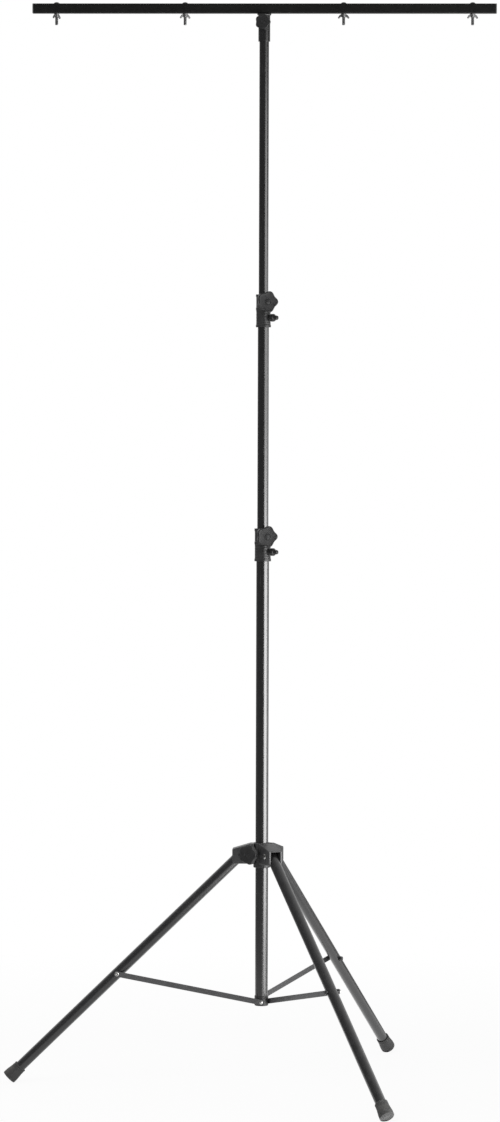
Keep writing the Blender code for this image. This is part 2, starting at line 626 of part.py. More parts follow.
def build_crossbar(stand):
    """Bar, its sleeve on the upper tube, end caps and four lamp bolts."""
    frame = empty("crossbar_frame", stand, location=(0, 0, BAR_CENTRE))
    bar = build_bar_tube(frame)
    for number, offset in enumerate(LAMP_BOLT_OFFSETS, 1):
        build_lamp_bolt(number, offset, bar, frame)

    inside = BAR_SIZE - 2 * BAR_WALL - 2 * CLEARANCE
    for side, sign in (("left", -1), ("right", 1)):
        flange = box(f"bar_end_cap_{side}", (BAR_CAP_FLANGE, BAR_SIZE, BAR_SIZE), frame, "black_rubber",
                     location=(sign * (BAR_LENGTH - BAR_CAP_FLANGE) / 2, 0, 0))
        reach = BAR_CAP_INSERT + BAR_CAP_FLANGE / 2
        insert = box(f"bar_end_insert_{side}", (reach, inside, inside), frame,
                     location=(sign * (BAR_LENGTH / 2 - BAR_CAP_FLANGE / 2 - reach / 2), 0, 0))
        round_long_edges(insert, BAR_CORNER)
        round_long_edges(flange, BAR_CORNER)
        join(flange, insert)

    sleeve_frame = empty("crossbar_sleeve_frame", frame, location=(0, 0, SLEEVE_TOP - BAR_CENTRE))
    inner = UPPER_TUBE_RADIUS + CLEARANCE
    outer = inner + SLEEVE_WALL
    sleeve = turned("crossbar_sleeve", tube_wall(outer, inner, -SADDLE_THICKNESS / 2, -SLEEVE_LENGTH),
                    sleeve_frame, "black_powder_coat", closed=True, sides=TUBE_SIDES)
    saddle = box("crossbar_saddle", (SADDLE_LENGTH, SADDLE_WIDTH, SADDLE_THICKNESS), sleeve_frame,
                 location=(0, 0, -SADDLE_THICKNESS / 2))
    join(sleeve, saddle)
    clamp = outward(SLEEVE_CLAMP_AZIMUTH, 0, -SLEEVE_CLAMP_BELOW_BAR)
    boss_end = outer + SLEEVE_BOSS_REACH
    boss = turned("crossbar_boss", rod(SLEEVE_BOSS_RADIUS, boss_end, outer - SLEEVE_WALL / 2),
                  sleeve_frame, **clamp)
    join(sleeve, boss)
    bore("crossbar_clamp_hole", sleeve, BAR_KNOB.screw_radius + CLEARANCE, inner - OVERRUN,
         boss_end + CLEARANCE, sleeve_frame, **clamp)
    build_clamp("crossbar", sleeve_frame, clamp, UPPER_TUBE_RADIUS, boss_end, BAR_KNOB, BAR_KNOB_NECK)


def round_long_edges(item, width):
    """Round the four edges of a box that run along X."""
    bm = bmesh.new()
    bm.from_mesh(item.data)
    along = [edge for edge in bm.edges
             if abs((edge.verts[0].co - edge.verts[1].co).normalized().x) > 0.9]
    bmesh.ops.bevel(bm, geom=along, offset=width, segments=2, profile=0.5, affect='EDGES', material=-1)
    bm.to_mesh(item.data)
    bm.free()


# Tripod

def arm_roof(reach):
    """Height of an arm's roof above the pivot, at a distance from the column's axis."""
    fall = (ARM_TOP_AT_HUB - ARM_TOP_AT_END) / (ARM_REACH - ARM_FLAT_TO)
    return ARM_TOP_AT_HUB - max(0.0, reach - ARM_FLAT_TO) * fall


def build_hub(stand):
    """Sliding hub with three forked arms, their pivot pins and the clamp knob."""
    frame = empty("hub_frame", stand, location=(0, 0, PIVOT_HEIGHT))
    inner = COLUMN_RADIUS + RUNNING_GAP
    outer = inner + HUB_WALL
    hub = turned("hub",
                 [(outer - HUB_EDGE, HUB_ABOVE_PIVOT), (outer, HUB_ABOVE_PIVOT - HUB_EDGE),
                  (outer, HUB_EDGE - HUB_BELOW_PIVOT), (outer - HUB_EDGE, -HUB_BELOW_PIVOT),
                  (inner, -HUB_BELOW_PIVOT), (inner, HUB_ABOVE_PIVOT)],
                 frame, "grey_black_plastic", closed=True, sides=TUBE_SIDES)
    leg_slot = 2 * (LEG_RADIUS + ARM_SIDE_GAP)
    arm_width = leg_slot + 2 * ARM_CHEEK
    root = (inner + outer) / 2
    pocket = outer + HUB_POCKET_WEB
    top = ARM_TOP_CORNER
    foot = ARM_FOOT_CORNER
    outline = [(root, ARM_TOP_AT_HUB), (ARM_FLAT_TO, ARM_TOP_AT_HUB)]
    outline += arc((ARM_REACH - top, ARM_TOP_AT_END - top), top, pi / 2, 0, 2)
    outline += arc((ARM_REACH - foot, foot - ARM_BELOW_PIVOT), foot, 0, -pi / 2, 3)
    outline += [(root, -ARM_BELOW_PIVOT)]
    past_end = ARM_REACH + OVERRUN
    below = -HUB_BELOW_PIVOT - OVERRUN
    slot = [(pocket, ARM_TOP_AT_HUB - ARM_ROOF), (ARM_FLAT_TO, ARM_TOP_AT_HUB - ARM_ROOF),
            (past_end, arm_roof(past_end) - ARM_ROOF), (past_end, below), (pocket, below)]
    face = arm_width / 2 + CLEARANCE
    head = face + PIVOT_HEAD_HEIGHT
    rounding = PIVOT_HEAD_HEIGHT / 2
    slots = []
    for side, azimuth in LEG_AZIMUTHS.items():
        turn = empty(f"arm_frame_{side}", frame, rotation=(0, 0, azimuth))
        arm = plate(f"arm_{side}", outline, arm_width, turn, rotation=(pi / 2, 0, 0))
        join(hub, arm)
        slots.append(plate(f"arm_slot_{side}", slot, leg_slot, turn, rotation=(pi / 2, 0, 0)))
        pin_place = {"location": (HUB_PIVOT_RADIUS, 0, 0), "rotation": (-pi / 2, 0, 0)}
        turned(f"leg_pivot_pin_{side}",
               [(0, head), (PIVOT_HEAD_RADIUS - rounding, head), (PIVOT_HEAD_RADIUS, head - rounding),
                (PIVOT_HEAD_RADIUS, face), (PIVOT_PIN_RADIUS, face), (PIVOT_PIN_RADIUS, -face),
                (PIVOT_HEAD_RADIUS, -face), (PIVOT_HEAD_RADIUS, rounding - head),
                (PIVOT_HEAD_RADIUS - rounding, -head), (0, -head)],
               turn, "zinc_plate", **pin_place)
        slots.append(turned(f"pivot_hole_{side}",
                            rod(PIVOT_PIN_RADIUS + CLEARANCE, arm_width, -arm_width),
                            turn, **pin_place))

    clamp = outward(HUB_KNOB_AZIMUTH, 0, HUB_KNOB_ABOVE_PIVOT)
    boss_end = outer + HUB_BOSS_REACH
    join(hub, turned("hub_boss", rod(HUB_BOSS_RADIUS, boss_end, root), frame, **clamp))
    for cutter in slots:
        cut(hub, cutter)
    bore("hub_clamp_hole", hub, HUB_KNOB.screw_radius + CLEARANCE, inner - OVERRUN,
         boss_end + CLEARANCE, frame, **clamp)
    build_clamp("hub", frame, clamp, COLUMN_RADIUS, boss_end, HUB_KNOB, HUB_KNOB_START - boss_end)
    return frame


def build_leg(side, azimuth, hub_frame, stand):
    """Leg tube with its top plug, rubber foot and the bolt that holds its strut.

    The leg's frame is on its pivot, and the leg runs down the frame's -Z axis.
    """
    pivot = empty(f"leg_frame_{side}", hub_frame,
                  location=(HUB_PIVOT_RADIUS * cos(azimuth), HUB_PIVOT_RADIUS * sin(azimuth), 0),
                  rotation=(0, -LEG_SPREAD, azimuth))
    inner = LEG_RADIUS - LEG_WALL
    tube_end = -LEG_LENGTH + FOOT_CAP_FLOOR + CLEARANCE
    tube = turned(f"leg_tube_{side}", tube_wall(LEG_RADIUS, inner, LEG_TUBE_ABOVE_PIVOT, tube_end),
                  pivot, "black_powder_coat", closed=True, sides=TUBE_SIDES)

    crown = LEG_TUBE_ABOVE_PIVOT + CLEARANCE
    dome_start = sqrt(LEG_RADIUS ** 2 - crown ** 2)
    start = atan2(crown, dome_start)
    steps = 3
    dome = [(LEG_RADIUS * cos(a), LEG_RADIUS * sin(a))
            for a in (pi / 2 + (start - pi / 2) * step / steps for step in range(steps + 1))]
    stem = inner - CLEARANCE
    plug = turned(f"leg_plug_{side}",
                  dome + [(stem, crown), (stem, -LEG_PLUG_BELOW_PIVOT), (0, -LEG_PLUG_BELOW_PIVOT)],
                  pivot, "grey_black_plastic", sides=TUBE_SIDES)
    across = {"rotation": (-pi / 2, 0, 0)}
    past = LEG_RADIUS + OVERRUN
    for target, name in ((tube, "tube"), (plug, "plug")):
        bore(f"leg_{name}_pivot_hole_{side}", target, PIVOT_PIN_RADIUS + CLEARANCE, -past, past,
             pivot, **across)

    bolt_place = {"location": (0, 0, -LEG_TO_STRUT), "rotation": (-pi / 2, 0, 0)}
    bore(f"strut_bolt_hole_{side}", tube, STRUT_BOLT_RADIUS + CLEARANCE, -past, past,
         pivot, **bolt_place)
    skin = LEG_RADIUS + CLEARANCE
    spacer_end = STRUT_INNER_FACE - CLEARANCE
    washer_end = -skin - STRUT_WASHER_HEIGHT
    nut_end = washer_end - STRUT_NUT_HEIGHT
    shank_end = nut_end - STRUT_BOLT_RADIUS / 2
    bolt = turned(f"strut_bolt_{side}",
                  [(0, spacer_end), (STRUT_SPACER_RADIUS, spacer_end), (STRUT_SPACER_RADIUS, skin),
                   (STRUT_BOLT_RADIUS, skin), (STRUT_BOLT_RADIUS, -skin), (STRUT_WASHER_RADIUS, -skin),
                   (STRUT_WASHER_RADIUS, washer_end), (STRUT_BOLT_RADIUS, washer_end),
                   (STRUT_BOLT_RADIUS, shank_end), (0, shank_end)],
                  pivot, "zinc_plate", **bolt_place)
    nut = rod(STRUT_NUT_RADIUS, washer_end + STRUT_WASHER_HEIGHT / 2, nut_end)
    join(bolt, turned(f"strut_nut_{side}", nut, pivot, sides=STRUT_NUT_SIDES, **bolt_place))

    build_foot(side, pivot, stand)


def build_foot(side, pivot, stand):
    """Rubber cap on a leg's end, pressed flat where its rim stands on the floor."""
    inner = LEG_RADIUS + CLEARANCE
    floor = -LEG_LENGTH + FOOT_CAP_FLOOR
    top = -LEG_LENGTH + FOOT_CAP_LENGTH
    foot = turned(f"foot_cap_{side}",
                  [(0, floor), (inner, floor), (inner, top), (FOOT_CAP_TOP_RADIUS - FOOT_CAP_EDGE, top),
                   (FOOT_CAP_TOP_RADIUS, top - FOOT_CAP_EDGE),
                   (FOOT_CAP_TOP_RADIUS, top - FOOT_CAP_COLLAR),
                   (FOOT_CAP_END_RADIUS, FOOT_CAP_BASE - LEG_LENGTH),
                   (FOOT_CAP_END_RADIUS, -LEG_LENGTH), (0, -LEG_LENGTH)],
                  pivot, "black_rubber", sides=TUBE_SIDES)
    reach = HUB_PIVOT_RADIUS + LEG_LENGTH * sin(LEG_SPREAD)
    azimuth = LEG_AZIMUTHS[side]
    slab = 4 * FOOT_CAP_END_RADIUS
    below = box(f"floor_under_{side}", (slab, slab, slab), stand,
                location=(reach * cos(azimuth), reach * sin(azimuth), -slab / 2))
    cut(foot, below)


def build_strut(side, azimuth, stand):
    """Flat strut on edge beside its leg, from the column's foot to the leg's bolt.

    The strut's frame is on the column's axis, and the strut runs along the frame's +X axis.
    """
    foot = empty(f"strut_frame_{side}", stand, location=(0, 0, STRUT_FOOT_HEIGHT),
                 rotation=(0, -STRUT_ANGLE, azimuth))
    end = STRUT_WIDTH / 2
    outline = arc((0, 0), end, pi / 2, 3 * pi / 2, 6) + arc((STRUT_LENGTH, 0), end, -pi / 2, pi / 2, 6)
    middle = (STRUT_INNER_FACE + STRUT_OUTER_FACE) / 2
    strut = plate(f"strut_{side}", outline, STRUT_THICKNESS, foot, "strut_paint",
                  location=(0, middle, 0), rotation=(pi / 2, 0, 0))
    across = {"rotation": (-pi / 2, 0, 0)}
    past = STRUT_OUTER_FACE + OVERRUN
    bore(f"strut_rivet_hole_{side}", strut, STRUT_RIVET_RADIUS + CLEARANCE, 0, past, foot, **across)
    at_leg = {"location": (STRUT_LENGTH, 0, 0), "rotation": (-pi / 2, 0, 0)}
    bore(f"strut_end_hole_{side}", strut, STRUT_BOLT_RADIUS + CLEARANCE, 0, past, foot, **at_leg)
    head = STRUT_OUTER_FACE + CLEARANCE
    rounding = STRUT_BOLT_HEAD_HEIGHT / 2
    turned(f"strut_bolt_head_{side}",
           [(0, head + STRUT_BOLT_HEAD_HEIGHT),
            (STRUT_BOLT_HEAD_RADIUS - rounding, head + STRUT_BOLT_HEAD_HEIGHT),
            (STRUT_BOLT_HEAD_RADIUS, head + rounding), (STRUT_BOLT_HEAD_RADIUS, head),
            (STRUT_BOLT_RADIUS, head), (STRUT_BOLT_RADIUS, STRUT_INNER_FACE), (0, STRUT_INNER_FACE)],
           foot, "zinc_plate", **at_leg)


def build_tripod(stand):
    hub_frame = build_hub(stand)
    for side, azimuth in LEG_AZIMUTHS.items():
        build_leg(side, azimuth, hub_frame, stand)
        build_strut(side, azimuth, stand)


def main():
    clear_scene()
    stand = empty("stand_frame", location=(COLUMN_X, 0, 0))
    build_mast(stand)
    build_crossbar(stand)
    build_tripod(stand)
    bpy.context.view_layer.update()
    print(f"pivot height {PIVOT_HEIGHT:.4f}, strut length {STRUT_LENGTH:.4f}, "
          f"strut angle {degrees(STRUT_ANGLE):.2f}, column at x {COLUMN_X:.4f}, "
          f"bar centre {BAR_CENTRE:.4f}")


main()
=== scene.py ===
"""Looks of the folding light stand: finer pieces, finishes, studio and camera.

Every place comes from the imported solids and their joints. Each class below is one sub-assembly:
it holds its sizes, builds its meshes and gives them their finish. Lengths are in metres.
"""

import json
import logging
from collections.abc import Sequence
from dataclasses import dataclass, field
from enum import Enum
from math import cos, hypot, pi, radians, sin
from typing import Any

import bmesh
import bpy
from mathutils import Matrix, Vector

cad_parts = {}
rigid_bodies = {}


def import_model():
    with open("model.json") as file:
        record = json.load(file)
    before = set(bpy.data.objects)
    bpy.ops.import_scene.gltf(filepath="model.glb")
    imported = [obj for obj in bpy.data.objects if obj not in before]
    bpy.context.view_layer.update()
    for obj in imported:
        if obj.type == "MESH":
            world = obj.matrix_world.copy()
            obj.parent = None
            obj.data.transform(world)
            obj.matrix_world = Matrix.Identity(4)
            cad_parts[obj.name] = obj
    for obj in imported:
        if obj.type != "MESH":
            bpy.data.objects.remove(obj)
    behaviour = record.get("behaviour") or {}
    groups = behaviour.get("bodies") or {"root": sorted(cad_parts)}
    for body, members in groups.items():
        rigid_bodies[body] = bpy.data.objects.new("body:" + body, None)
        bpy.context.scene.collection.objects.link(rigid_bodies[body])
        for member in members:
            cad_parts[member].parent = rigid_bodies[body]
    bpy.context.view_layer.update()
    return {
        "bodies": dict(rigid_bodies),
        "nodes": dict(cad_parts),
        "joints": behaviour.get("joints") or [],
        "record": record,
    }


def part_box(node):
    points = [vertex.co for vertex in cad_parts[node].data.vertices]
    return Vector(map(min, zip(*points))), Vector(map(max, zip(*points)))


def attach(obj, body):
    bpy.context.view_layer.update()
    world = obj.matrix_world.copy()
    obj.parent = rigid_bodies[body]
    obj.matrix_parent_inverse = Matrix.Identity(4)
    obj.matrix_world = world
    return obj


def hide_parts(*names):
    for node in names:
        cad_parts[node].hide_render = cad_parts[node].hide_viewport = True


LOG = logging.getLogger("light_stand")

Corners = list[tuple[float, float]]         # places on a profile or an outline
Steps = tuple[tuple[float, float], ...]     # places counted from a corner

MERGE = 1e-6                     # corners closer than this become one
ON_PLANE = 1e-7                  # a corner this close to a cutting plane lies on it
PLACE_DIGITS = 6                 # digits of a place in metres that are kept before edges are rounded
SHARP_ANGLE = radians(48)        # an edge that turns more than this stays sharp
SOFT_ANGLE = radians(35)         # an edge that turns more than this is rounded on a softened shape
FLAT_ANGLE = radians(0.5)        # faces that meet at less than this become one before that

CLEARANCE = 0.0003               # between faces that touch on the real stand
RUNNING_GAP = 0.0005             # between a tube and what slides on it
OVERRUN = 0.010                  # how far a cutter runs past what it cuts
COLUMN_RADIUS = 0.0165
MIDDLE_RADIUS = 0.0145
UPPER_RADIUS = 0.0125
LEG_RADIUS = 0.014
TUBE_WALL = 0.0015

TUBE_SIDES = 96
LEG_SIDES = 80
MOULDED_SIDES = 72
GRIP_SIDES = 48
BOSS_SIDES = 40
FASTENER_SIDES = 36
SMALL_SIDES = 32
HEXAGON = 6

THREAD_CREST = (0.15, 0.35)      # where a turn's crest starts and ends, as shares of the pitch
THREAD_ROOT = (0.65, 0.85)       # the same for its root

UPRIGHT = Matrix.Rotation(pi / 2, 4, 'X')      # stands a flat outline up, with its Y axis as height
CROSSWISE = Matrix.Rotation(-pi / 2, 4, 'X')   # lays an axle down, across a leg or an arm
AHEAD = Vector((0.0, 1.0))                     # the direction that lobes and ripples are counted from


class Side(Enum):
    """The three legs, with the direction that each points in."""

    LEFT = ("left", pi)
    FRONT = ("front", -pi / 3)
    REAR = ("rear", pi / 3)

    def __init__(self, label: str, azimuth: float) -> None:
        """Keep the leg's label and its direction about the mast."""
        self.label = label
        self.azimuth = azimuth


class Fuse(Enum):
    """How one closed shape changes another."""

    JOIN = 'UNION'
    CUT = 'DIFFERENCE'


@dataclass(frozen=True)
class Finish:
    """One surface finish and the slot of the record that it stands for."""

    name: str
    slot: str
    colour: tuple[float, float, float]
    roughness: float
    metallic: float = 0.0
    ior: float = 1.5
    grain_size: float = 0.0008
    grain_depth: float = 0.00002
    grain_contrast: float = 0.12
    rub_amount: float = 0.1
    rub_stretch: float = 1.0
    rub_colour: tuple[float, float, float] = (0.12, 0.12, 0.12)
    dust_amount: float = 0.05
    coat: float = 0.0
    coat_roughness: float = 0.2


MAST_PAINT = Finish("mast_paint", "black_powder_coat", (0.0050, 0.0050, 0.0053), 0.26,
                    grain_depth=0.000006, rub_amount=0.05, rub_stretch=0.04, coat=0.9, coat_roughness=0.22)
LEG_PAINT = Finish("leg_paint", "black_powder_coat", (0.0140, 0.0140, 0.0148), 0.30,
                   grain_depth=0.000009, rub_amount=0.07, coat=0.4, coat_roughness=0.24)
BAR_PAINT = Finish("crossbar_coat", "black_bar_coat", (0.0042, 0.0042, 0.0042), 0.48, ior=1.34,
                   grain_depth=0.000020, rub_amount=0.02)
HUB_NYLON = Finish("hub_nylon", "grey_black_plastic", (0.0400, 0.0400, 0.0410), 0.43, ior=1.48,
                   grain_size=0.0009, grain_depth=0.000012, rub_amount=0.05, rub_colour=(0.14, 0.14, 0.14))
COLLAR_NYLON = Finish("collar_nylon", "grey_black_plastic", (0.0225, 0.0225, 0.0230), 0.36, ior=1.42,
                      grain_size=0.0008, grain_depth=0.000007, rub_amount=0.04,
                      rub_colour=(0.12, 0.12, 0.12))
KNOB_NYLON = Finish("knob_nylon", "knob_plastic", (0.0165, 0.0165, 0.0171), 0.44, ior=1.36,
                    grain_size=0.0007, grain_depth=0.000007, rub_amount=0.05,
                    rub_colour=(0.12, 0.12, 0.12))
FOOT_RUBBER = Finish("foot_rubber", "black_rubber", (0.0330, 0.0330, 0.0330), 0.62, ior=1.45,
                     grain_size=0.0010, grain_depth=0.000020, rub_amount=0.22,
                     rub_colour=(0.17, 0.17, 0.165), dust_amount=0.30)
ZINC = Finish("zinc_plating", "zinc_plate", (0.44, 0.44, 0.43), 0.38, metallic=1.0,
              grain_size=0.0016, grain_depth=0.000008, grain_contrast=0.25,
              rub_amount=0.10, rub_colour=(0.32, 0.32, 0.31))
DULL_ZINC = Finish("dull_zinc_plating", "zinc_plate", (0.20, 0.20, 0.20), 0.45, metallic=0.9,
                   grain_size=0.0016, grain_depth=0.000008, grain_contrast=0.2,
                   rub_amount=0.10, rub_colour=(0.12, 0.12, 0.12))
BLACK_STEEL = Finish("blackened_steel_finish", "blackened_steel", (0.045, 0.045, 0.046), 0.40,
                     metallic=0.6, grain_size=0.0008, grain_depth=0.000010, rub_colour=(0.2, 0.2, 0.2))
STRUT_PAINT = Finish("strut_satin_paint", "strut_paint", (0.066, 0.066, 0.068), 0.34, ior=1.55,
                     grain_depth=0.000008, rub_amount=0.06, rub_colour=(0.24, 0.24, 0.24))


class NodeTree:
    """Short calls for adding and linking shader nodes."""

    def __init__(self, tree: bpy.types.NodeTree) -> None:
        """Work on this node tree."""
        self.tree = tree

    def add(self, kind: str, **settings: Any) -> bpy.types.Node:
        """Add a node.

        Args:
            kind: The node's type, such as ShaderNodeMath.
            **settings: Attributes to set on it.

        Returns:
            The new node.
        """
        node = self.tree.nodes.new(kind)
        for name, value in settings.items():
            setattr(node, name, value)
        return node

    def link(self, source: bpy.types.NodeSocket, target: bpy.types.NodeSocket) -> None:
        """Link an output to an input."""
        self.tree.links.new(source, target)

    def feed(self, target: bpy.types.NodeSocket, value: Any) -> None:
        """Link a socket to an input, or set the input when the value is a plain one.

        Args:
            target: The input.
            value: A socket, a number or a colour.
        """
        if isinstance(value, bpy.types.NodeSocket):
            self.link(value, target)
        else:
            target.default_value = value

    def math(self, operation: str, first: Any, second: Any = 0.0,
             clamp: bool = False) -> bpy.types.NodeSocket:
        """Add a Math node.

        Args:
            operation: The node's operation.
            first: A socket or a number.
            second: A socket or a number.
            clamp: Whether the result stays between 0 and 1.

        Returns:
            The node's output.
        """
        node = self.add('ShaderNodeMath', operation=operation, use_clamp=clamp)
        self.feed(node.inputs[0], first)
        self.feed(node.inputs[1], second)
        return node.outputs[0]

    def noise(self, vector: Any, scale: Any, detail: float, roughness: float = 0.5) -> bpy.types.NodeSocket:
        """Add a Noise Texture.

        Args:
            vector: The coordinates.
            scale: A socket or a number.
            detail: Octaves.
            roughness: How strong the finer octaves are.

        Returns:
            The noise's value.
        """
        node = self.add('ShaderNodeTexNoise', noise_dimensions='3D')
        self.link(vector, node.inputs['Vector'])
        self.feed(node.inputs['Scale'], scale)
        node.inputs['Detail'].default_value = detail
        node.inputs['Roughness'].default_value = roughness
        return node.outputs['Fac']

    def ramp(self, value: bpy.types.NodeSocket, low: Any, high: Any, start: float = 0.0,
             end: float = 1.0) -> bpy.types.NodeSocket:
        """Map a value from one range to another, clamped.

        Args:
            value: The value.
            low: Where the first range starts.
            high: Where it ends.
            start: What low becomes.
            end: What high becomes.

        Returns:
            The mapped value.
        """
        node = self.add('ShaderNodeMapRange', clamp=True)
        self.link(value, node.inputs['Value'])
        self.feed(node.inputs['From Min'], low)
        self.feed(node.inputs['From Max'], high)
        node.inputs['To Min'].default_value = start
        node.inputs['To Max'].default_value = end
        return node.outputs['Result']

    def blend(self, factor: Any, first: Any, second: Any) -> bpy.types.NodeSocket:
        """Mix two colours.

        Args:
            factor: How much of the second.
            first: A socket or a colour.
            second: A socket or a colour.

        Returns:
            The mixed colour.
        """
        node = self.add('ShaderNodeMix', data_type='RGBA')
        self.feed(node.inputs['Factor'], factor)
        self.feed(node.inputs[6], first)
        self.feed(node.inputs[7], second)
        return node.outputs[2]


@dataclass
class PaintShop:
    """Builds the shared effects once, and one material for each finish."""

    grain_detail: float = 1.5
    mottle_scale: float = 0.055      # against the grain's scale
    mottle_detail: float = 4.0
    mottle_roughness: float = 0.6
    height_shares: tuple[float, float] = (0.8, 0.2)      # of grain and mottle
    tone_shares: tuple[float, float] = (0.3, 0.7)
    line_scale: float = 420.0
    line_detail: float = 3.0
    line_roughness: float = 0.7
    line_range: tuple[float, float] = (0.56, 0.72)
    patch_scale: float = 9.0
    patch_detail: float = 2.0
    patch_range: tuple[float, float] = (0.42, 0.68)
    dust_scale: float = 60.0
    dust_detail: float = 5.0
    dust_grain: float = 0.65
    dust_range: tuple[float, float] = (0.35, 0.75)
    upward_range: tuple[float, float] = (0.1, 0.9)
    dust_colour: tuple[float, float, float] = (0.28, 0.27, 0.25)
    deep_tone: float = 0.72
    pale_tone: float = 1.28
    noise_middle: float = 0.5
    tone_middle: float = 0.5
    tone_gain: float = 3.0
    even_share: float = 0.5          # how far the mottled colour goes back to the plain one
    rub_gain: float = 4.0
    rub_roughness: float = 0.18
    dust_roughness: float = 0.5
    bump_strength: float = 0.5

    def __post_init__(self) -> None:
        """Build the shared node groups."""
        self.made: dict[str, bpy.types.Material] = {}
        self.grain = self._grain_group()
        self.rubs = self._rub_group()
        self.dust = self._dust_group()

    @staticmethod
    def _group(name: str, inputs: Sequence[tuple[str, str, float]],
               outputs: Sequence[str]) -> tuple[bpy.types.ShaderNodeTree, NodeTree, Any, Any]:
        """Start a node group.

        Args:
            name: The group's name.
            inputs: Name, socket type and default of each input; a vector's default isn't used.
            outputs: Names of the outputs, which are plain values.

        Returns:
            The group, its builder, and its input and output nodes.
        """
        tree = bpy.data.node_groups.new(name, 'ShaderNodeTree')
        for label, kind, default in inputs:
            socket = tree.interface.new_socket(name=label, in_out='INPUT', socket_type=kind)
            if kind == 'NodeSocketFloat':
                socket.default_value = default
        for label in outputs:
            tree.interface.new_socket(name=label, in_out='OUTPUT', socket_type='NodeSocketFloat')
        nodes = NodeTree(tree)
        return tree, nodes, nodes.add('NodeGroupInput'), nodes.add('NodeGroupOutput')

    def _grain_group(self) -> bpy.types.ShaderNodeTree:
        """Fine orange peel over a slow mottle: a height for bump and a value around zero.

        Returns:
            The group.
        """
        tree, nodes, start, end = self._group(
            "coating_grain", (("Vector", 'NodeSocketVector', 0.0), ("Size", 'NodeSocketFloat', 0.001)),
            ("Height", "Mottle"))
        place = start.outputs["Vector"]
        scale = nodes.math('DIVIDE', 1.0, start.outputs["Size"])
        fine = nodes.noise(place, scale, self.grain_detail)
        broad = nodes.noise(place, nodes.math('MULTIPLY', scale, self.mottle_scale), self.mottle_detail,
                            self.mottle_roughness)
        height = nodes.math('ADD', nodes.math('MULTIPLY', fine, self.height_shares[0]),
                            nodes.math('MULTIPLY', broad, self.height_shares[1]))
        mottle = nodes.math('ADD', nodes.math('MULTIPLY', broad, self.tone_shares[1]),
                            nodes.math('MULTIPLY', fine, self.tone_shares[0]))
        nodes.link(height, end.inputs["Height"])
        nodes.link(nodes.math('SUBTRACT', mottle, self.noise_middle), end.inputs["Mottle"])
        return tree

    def _rub_group(self) -> bpy.types.ShaderNodeTree:
        """Thin rub marks, drawn out along the stand's height by Stretch below 1.

        Returns:
            The group.
        """
        tree, nodes, start, end = self._group(
            "rub_marks", (("Vector", 'NodeSocketVector', 0.0), ("Stretch", 'NodeSocketFloat', 1.0),
                          ("Amount", 'NodeSocketFloat', 0.1)), ("Mask",))
        squeeze = nodes.add('ShaderNodeCombineXYZ')
        squeeze.inputs[0].default_value = 1.0
        squeeze.inputs[1].default_value = 1.0
        nodes.link(start.outputs["Stretch"], squeeze.inputs[2])
        drawn = nodes.add('ShaderNodeVectorMath', operation='MULTIPLY')
        nodes.link(start.outputs["Vector"], drawn.inputs[0])
        nodes.link(squeeze.outputs[0], drawn.inputs[1])
        lines = nodes.noise(drawn.outputs[0], self.line_scale, self.line_detail, self.line_roughness)
        patches = nodes.noise(start.outputs["Vector"], self.patch_scale, self.patch_detail)
        marks = nodes.math('MULTIPLY', nodes.ramp(lines, *self.line_range),
                           nodes.ramp(patches, *self.patch_range))
        nodes.link(nodes.math('MULTIPLY', marks, start.outputs["Amount"], clamp=True), end.inputs["Mask"])
        return tree

    def _dust_group(self) -> bpy.types.ShaderNodeTree:
        """Dust that lies on faces that look up, in soft patches.

        Returns:
            The group.
        """
        tree, nodes, start, end = self._group(
            "settled_dust", (("Vector", 'NodeSocketVector', 0.0), ("Amount", 'NodeSocketFloat', 0.05)),
            ("Mask",))
        split = nodes.add('ShaderNodeSeparateXYZ')
        nodes.link(nodes.add('ShaderNodeNewGeometry').outputs['Normal'], split.inputs[0])
        upward = nodes.ramp(split.outputs[2], *self.upward_range)
        cloud = nodes.noise(start.outputs["Vector"], self.dust_scale, self.dust_detail, self.dust_grain)
        lying = nodes.math('MULTIPLY', upward, nodes.ramp(cloud, *self.dust_range))
        nodes.link(nodes.math('MULTIPLY', lying, start.outputs["Amount"], clamp=True), end.inputs["Mask"])
        return tree

    def material(self, finish: Finish) -> bpy.types.Material:
        """Return the material of a finish, made on first use.

        Args:
            finish: The finish.

        Returns:
            Its material.
        """
        if finish.name in self.made:
            return self.made[finish.name]
        material = bpy.data.materials.new(finish.name)
        material.use_nodes = True
        nodes = NodeTree(material.node_tree)
        shader = material.node_tree.nodes['Principled BSDF']
        place = nodes.add('ShaderNodeTexCoord').outputs['Object']

        grain = nodes.add('ShaderNodeGroup', node_tree=self.grain)
        grain.inputs["Size"].default_value = finish.grain_size
        rubs = nodes.add('ShaderNodeGroup', node_tree=self.rubs)
        rubs.inputs["Stretch"].default_value = finish.rub_stretch
        rubs.inputs["Amount"].default_value = finish.rub_amount * self.rub_gain
        dust = nodes.add('ShaderNodeGroup', node_tree=self.dust)
        dust.inputs["Amount"].default_value = finish.dust_amount
        for effect in (grain, rubs, dust):
            nodes.link(place, effect.inputs["Vector"])

        base = (*finish.colour, 1.0)
        deep = (*(self.deep_tone * part for part in finish.colour), 1.0)
        pale = (*(self.pale_tone * part for part in finish.colour), 1.0)
        strong = nodes.math('MULTIPLY', grain.outputs["Mottle"], self.tone_gain)
        tone = nodes.math('ADD', strong, self.tone_middle, clamp=True)
        colour = nodes.blend(tone, deep, pale)
        colour = nodes.blend(nodes.math('MULTIPLY', tone, self.even_share), colour, base)
        colour = nodes.blend(rubs.outputs["Mask"], colour, (*finish.rub_colour, 1.0))
        colour = nodes.blend(dust.outputs["Mask"], colour, (*self.dust_colour, 1.0))
        nodes.link(colour, shader.inputs['Base Color'])

